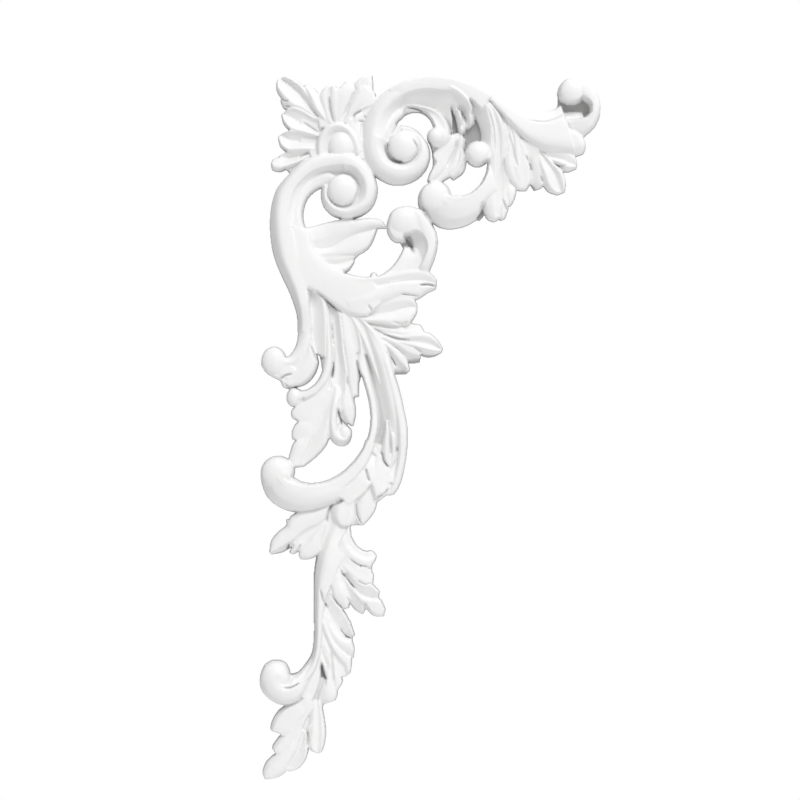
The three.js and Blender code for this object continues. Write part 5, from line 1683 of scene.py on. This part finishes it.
# Faces that lie almost in one plane are merged until the piece keeps to its number of triangles.
MOST_TRIANGLES = 188000
thinner = casting.modifiers.new("thinner", "DECIMATE")
thinner.ratio = min(1, MOST_TRIANGLES / (2 * len(front) + len(back)))
settled = bpy.context.evaluated_depsgraph_get()
casting_mesh = bpy.data.meshes.new_from_object(casting.evaluated_get(settled))
casting.modifiers.clear()
casting.data = casting_mesh
casting_mesh.name = "casting"
points = np.empty(3 * len(casting_mesh.vertices))
casting_mesh.vertices.foreach_get("co", points)
points = np.clip(points.reshape(-1, 3), box_low, box_high)
casting_mesh.vertices.foreach_set("co", points.ravel())
casting_mesh.update()

# The face is satin white primer with a slight mottling and the fine tooth of sprayed paint.
# Next to the back, deep in the hollows and at the foot of the walls, the colour is painted darker:
# painted shade.
# The bare cast back is duller and yellower.
IOR = 1.45
MOTTLE_SCALE = 14
MOTTLE_DETAIL = 4
GLOSS_SWING = 0.05
GRAIN_SCALE = 900
GRAIN_DETAIL = 2
GRAIN_STRENGTH = 0.25
# Painted shade begins this far in front of the back and is full this close to it, in metres.
SHADE_START_HEIGHT = 0.0055
FULL_SHADE_HEIGHT = 0.002
# The dark grey that the painted shade mixes into the colour.
PAINTED_SHADE_COLOUR = (0.1, 0.1, 0.1, 1)


def casting_material(name, pale, deep, rough, tooth, bare):
    """A finish mottled between two colours; bare is how strongly painted shade darkens it next to
    the back.
    """
    material = bpy.data.materials.new(name)
    material.use_nodes = True
    nodes = material.node_tree.nodes
    links = material.node_tree.links
    shader = nodes["Principled BSDF"]
    shader.inputs["IOR"].default_value = IOR
    coords = nodes.new("ShaderNodeTexCoord")
    mottle = nodes.new("ShaderNodeTexNoise")
    mottle.inputs["Scale"].default_value = MOTTLE_SCALE
    mottle.inputs["Detail"].default_value = MOTTLE_DETAIL
    links.new(coords.outputs["Object"], mottle.inputs["Vector"])
    tint = nodes.new("ShaderNodeMix")
    tint.data_type = "RGBA"
    tint.inputs["A"].default_value = (*deep, 1)
    tint.inputs["B"].default_value = (*pale, 1)
    links.new(mottle.outputs["Fac"], tint.inputs["Factor"])
    spot = nodes.new("ShaderNodeSeparateXYZ")
    links.new(coords.outputs["Object"], spot.inputs["Vector"])
    # Painted shade: the colour darkens where the face lies near the back, in the deep hollows and
    # at the foot of the walls.
    depth = nodes.new("ShaderNodeMapRange")
    depth.interpolation_type = "SMOOTHSTEP"
    depth.inputs["From Min"].default_value = -SHADE_START_HEIGHT
    depth.inputs["From Max"].default_value = -FULL_SHADE_HEIGHT
    depth.inputs["To Max"].default_value = bare
    links.new(spot.outputs["Y"], depth.inputs["Value"])
    # Mixes the painted shade into the mottled colour.
    shade = nodes.new("ShaderNodeMix")
    shade.data_type = "RGBA"
    shade.inputs["B"].default_value = PAINTED_SHADE_COLOUR
    links.new(tint.outputs["Result"], shade.inputs["A"])
    links.new(depth.outputs["Result"], shade.inputs["Factor"])
    links.new(shade.outputs["Result"], shader.inputs["Base Color"])
    sheen = nodes.new("ShaderNodeMapRange")
    sheen.inputs["To Min"].default_value = rough - GLOSS_SWING
    sheen.inputs["To Max"].default_value = rough + GLOSS_SWING
    links.new(mottle.outputs["Fac"], sheen.inputs["Value"])
    links.new(sheen.outputs["Result"], shader.inputs["Roughness"])
    grain = nodes.new("ShaderNodeTexNoise")
    grain.inputs["Scale"].default_value = GRAIN_SCALE
    grain.inputs["Detail"].default_value = GRAIN_DETAIL
    links.new(coords.outputs["Object"], grain.inputs["Vector"])
    bump = nodes.new("ShaderNodeBump")
    bump.inputs["Strength"].default_value = GRAIN_STRENGTH
    bump.inputs["Distance"].default_value = tooth
    links.new(grain.outputs["Fac"], bump.inputs["Height"])
    links.new(bump.outputs["Normal"], shader.inputs["Normal"])
    return material


# The primer carries painted shade near the back (0.62); the back carries none.
casting_mesh.materials.append(
    casting_material("white primer", (0.84, 0.84, 0.84), (0.81, 0.81, 0.805), 0.5, 0.0002, 0.62)
)
casting_mesh.materials.append(
    casting_material("bare cast back", (0.78, 0.75, 0.66), (0.7, 0.66, 0.57), 0.75, 0.0005, 0)
)
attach(casting, "root")
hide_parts("corner_applique")

# Studio: a pale floor below the piece, a broad softbox high on the right, a weak light above and
# behind, and a room that is brightest above and on the right, but plain white to the camera.
FLOOR_HALF = 3
FLOOR_LEVEL = -1.1
FLOOR_COLOUR = (0.9, 0.9, 0.9, 1)
floor_mesh = bpy.data.meshes.new("floor")
floor_form = bmesh.new()
bmesh.ops.create_grid(floor_form, x_segments=1, y_segments=1, size=FLOOR_HALF)
floor_form.to_mesh(floor_mesh)
floor_form.free()
floor = bpy.data.objects.new("floor", floor_mesh)
floor.location = (0, 0, FLOOR_LEVEL)
bpy.context.scene.collection.objects.link(floor)
floor_paint = bpy.data.materials.new("pale floor")
floor_paint.use_nodes = True
floor_shader = floor_paint.node_tree.nodes["Principled BSDF"]
floor_shader.inputs["Base Color"].default_value = FLOOR_COLOUR
floor_mesh.materials.append(floor_paint)

WHITE = (1, 1, 1, 1)
BRIGHT_SIDE = (0.4, 0, 0.92)
DIMMEST = 0.1
BRIGHTEST = 0.87
room = bpy.data.worlds.new("room")
room.use_nodes = True
bpy.context.scene.world = room
room_nodes = room.node_tree.nodes
room_links = room.node_tree.links
backdrop = room_nodes["Background"]
backdrop.inputs["Color"].default_value = WHITE
compass = room_nodes.new("ShaderNodeTexCoord")
lean = room_nodes.new("ShaderNodeVectorMath")
lean.operation = "DOT_PRODUCT"
lean.inputs[1].default_value = BRIGHT_SIDE
fall = room_nodes.new("ShaderNodeMapRange")
fall.inputs["From Min"].default_value = -1
fall.inputs["To Min"].default_value = DIMMEST
fall.inputs["To Max"].default_value = BRIGHTEST
room_links.new(compass.outputs["Generated"], lean.inputs[0])
room_links.new(lean.outputs["Value"], fall.inputs["Value"])
room_links.new(fall.outputs["Result"], backdrop.inputs["Strength"])
seen = room_nodes.new("ShaderNodeBackground")
seen.inputs["Color"].default_value = WHITE
ray = room_nodes.new("ShaderNodeLightPath")
either = room_nodes.new("ShaderNodeMixShader")
room_links.new(ray.outputs["Is Camera Ray"], either.inputs["Fac"])
room_links.new(backdrop.outputs["Background"], either.inputs[1])
room_links.new(seen.outputs["Background"], either.inputs[2])
room_links.new(either.outputs["Shader"], room_nodes["World Output"].inputs["Surface"])


def softbox(name, place, aim, size, power):
    """A square area light that faces the point aimed at; size in metres, power in watts."""
    light = bpy.data.lights.new(name, "AREA")
    light.size = size
    light.energy = power
    box = bpy.data.objects.new(name, light)
    box.location = place
    direction = np.array(aim, float) - np.array(place, float)
    box.rotation_euler = Vector(direction).to_track_quat("-Z", "Y").to_euler()
    bpy.context.scene.collection.objects.link(box)


middle = (0.056, 0, -0.214)
softbox("key", (1.4, -4.2, 4), middle, 2.1, 190)
softbox("rear top", (0.5, 0.15, 1.3), middle, 1.2, 3)

# The camera looks straight on at the middle of a picture of 800 squares, framed at the depth
# of the carving's middle.
PICTURE_SIZE = 800
PICTURE_MIDDLE = PICTURE_SIZE / 2
SENSOR_WIDTH = 36
CAMERA_DISTANCE = 2.5
CARVING_DEPTH = 0.012
camera_data = bpy.data.cameras.new("camera")
camera_data.sensor_width = SENSOR_WIDTH
camera_data.lens = SENSOR_WIDTH * CAMERA_DISTANCE / (PICTURE_SIZE * UNIT)
camera = bpy.data.objects.new("camera", camera_data)
camera.location = (
    (PICTURE_MIDDLE - ORIGIN[0]) * UNIT,
    -CAMERA_DISTANCE - CARVING_DEPTH,
    (ORIGIN[1] - PICTURE_MIDDLE) * UNIT,
)
camera.rotation_euler = (np.pi / 2, 0, 0)
bpy.context.scene.collection.objects.link(camera)
bpy.context.scene.camera = camera
bpy.context.scene.view_settings.view_transform = "Standard"
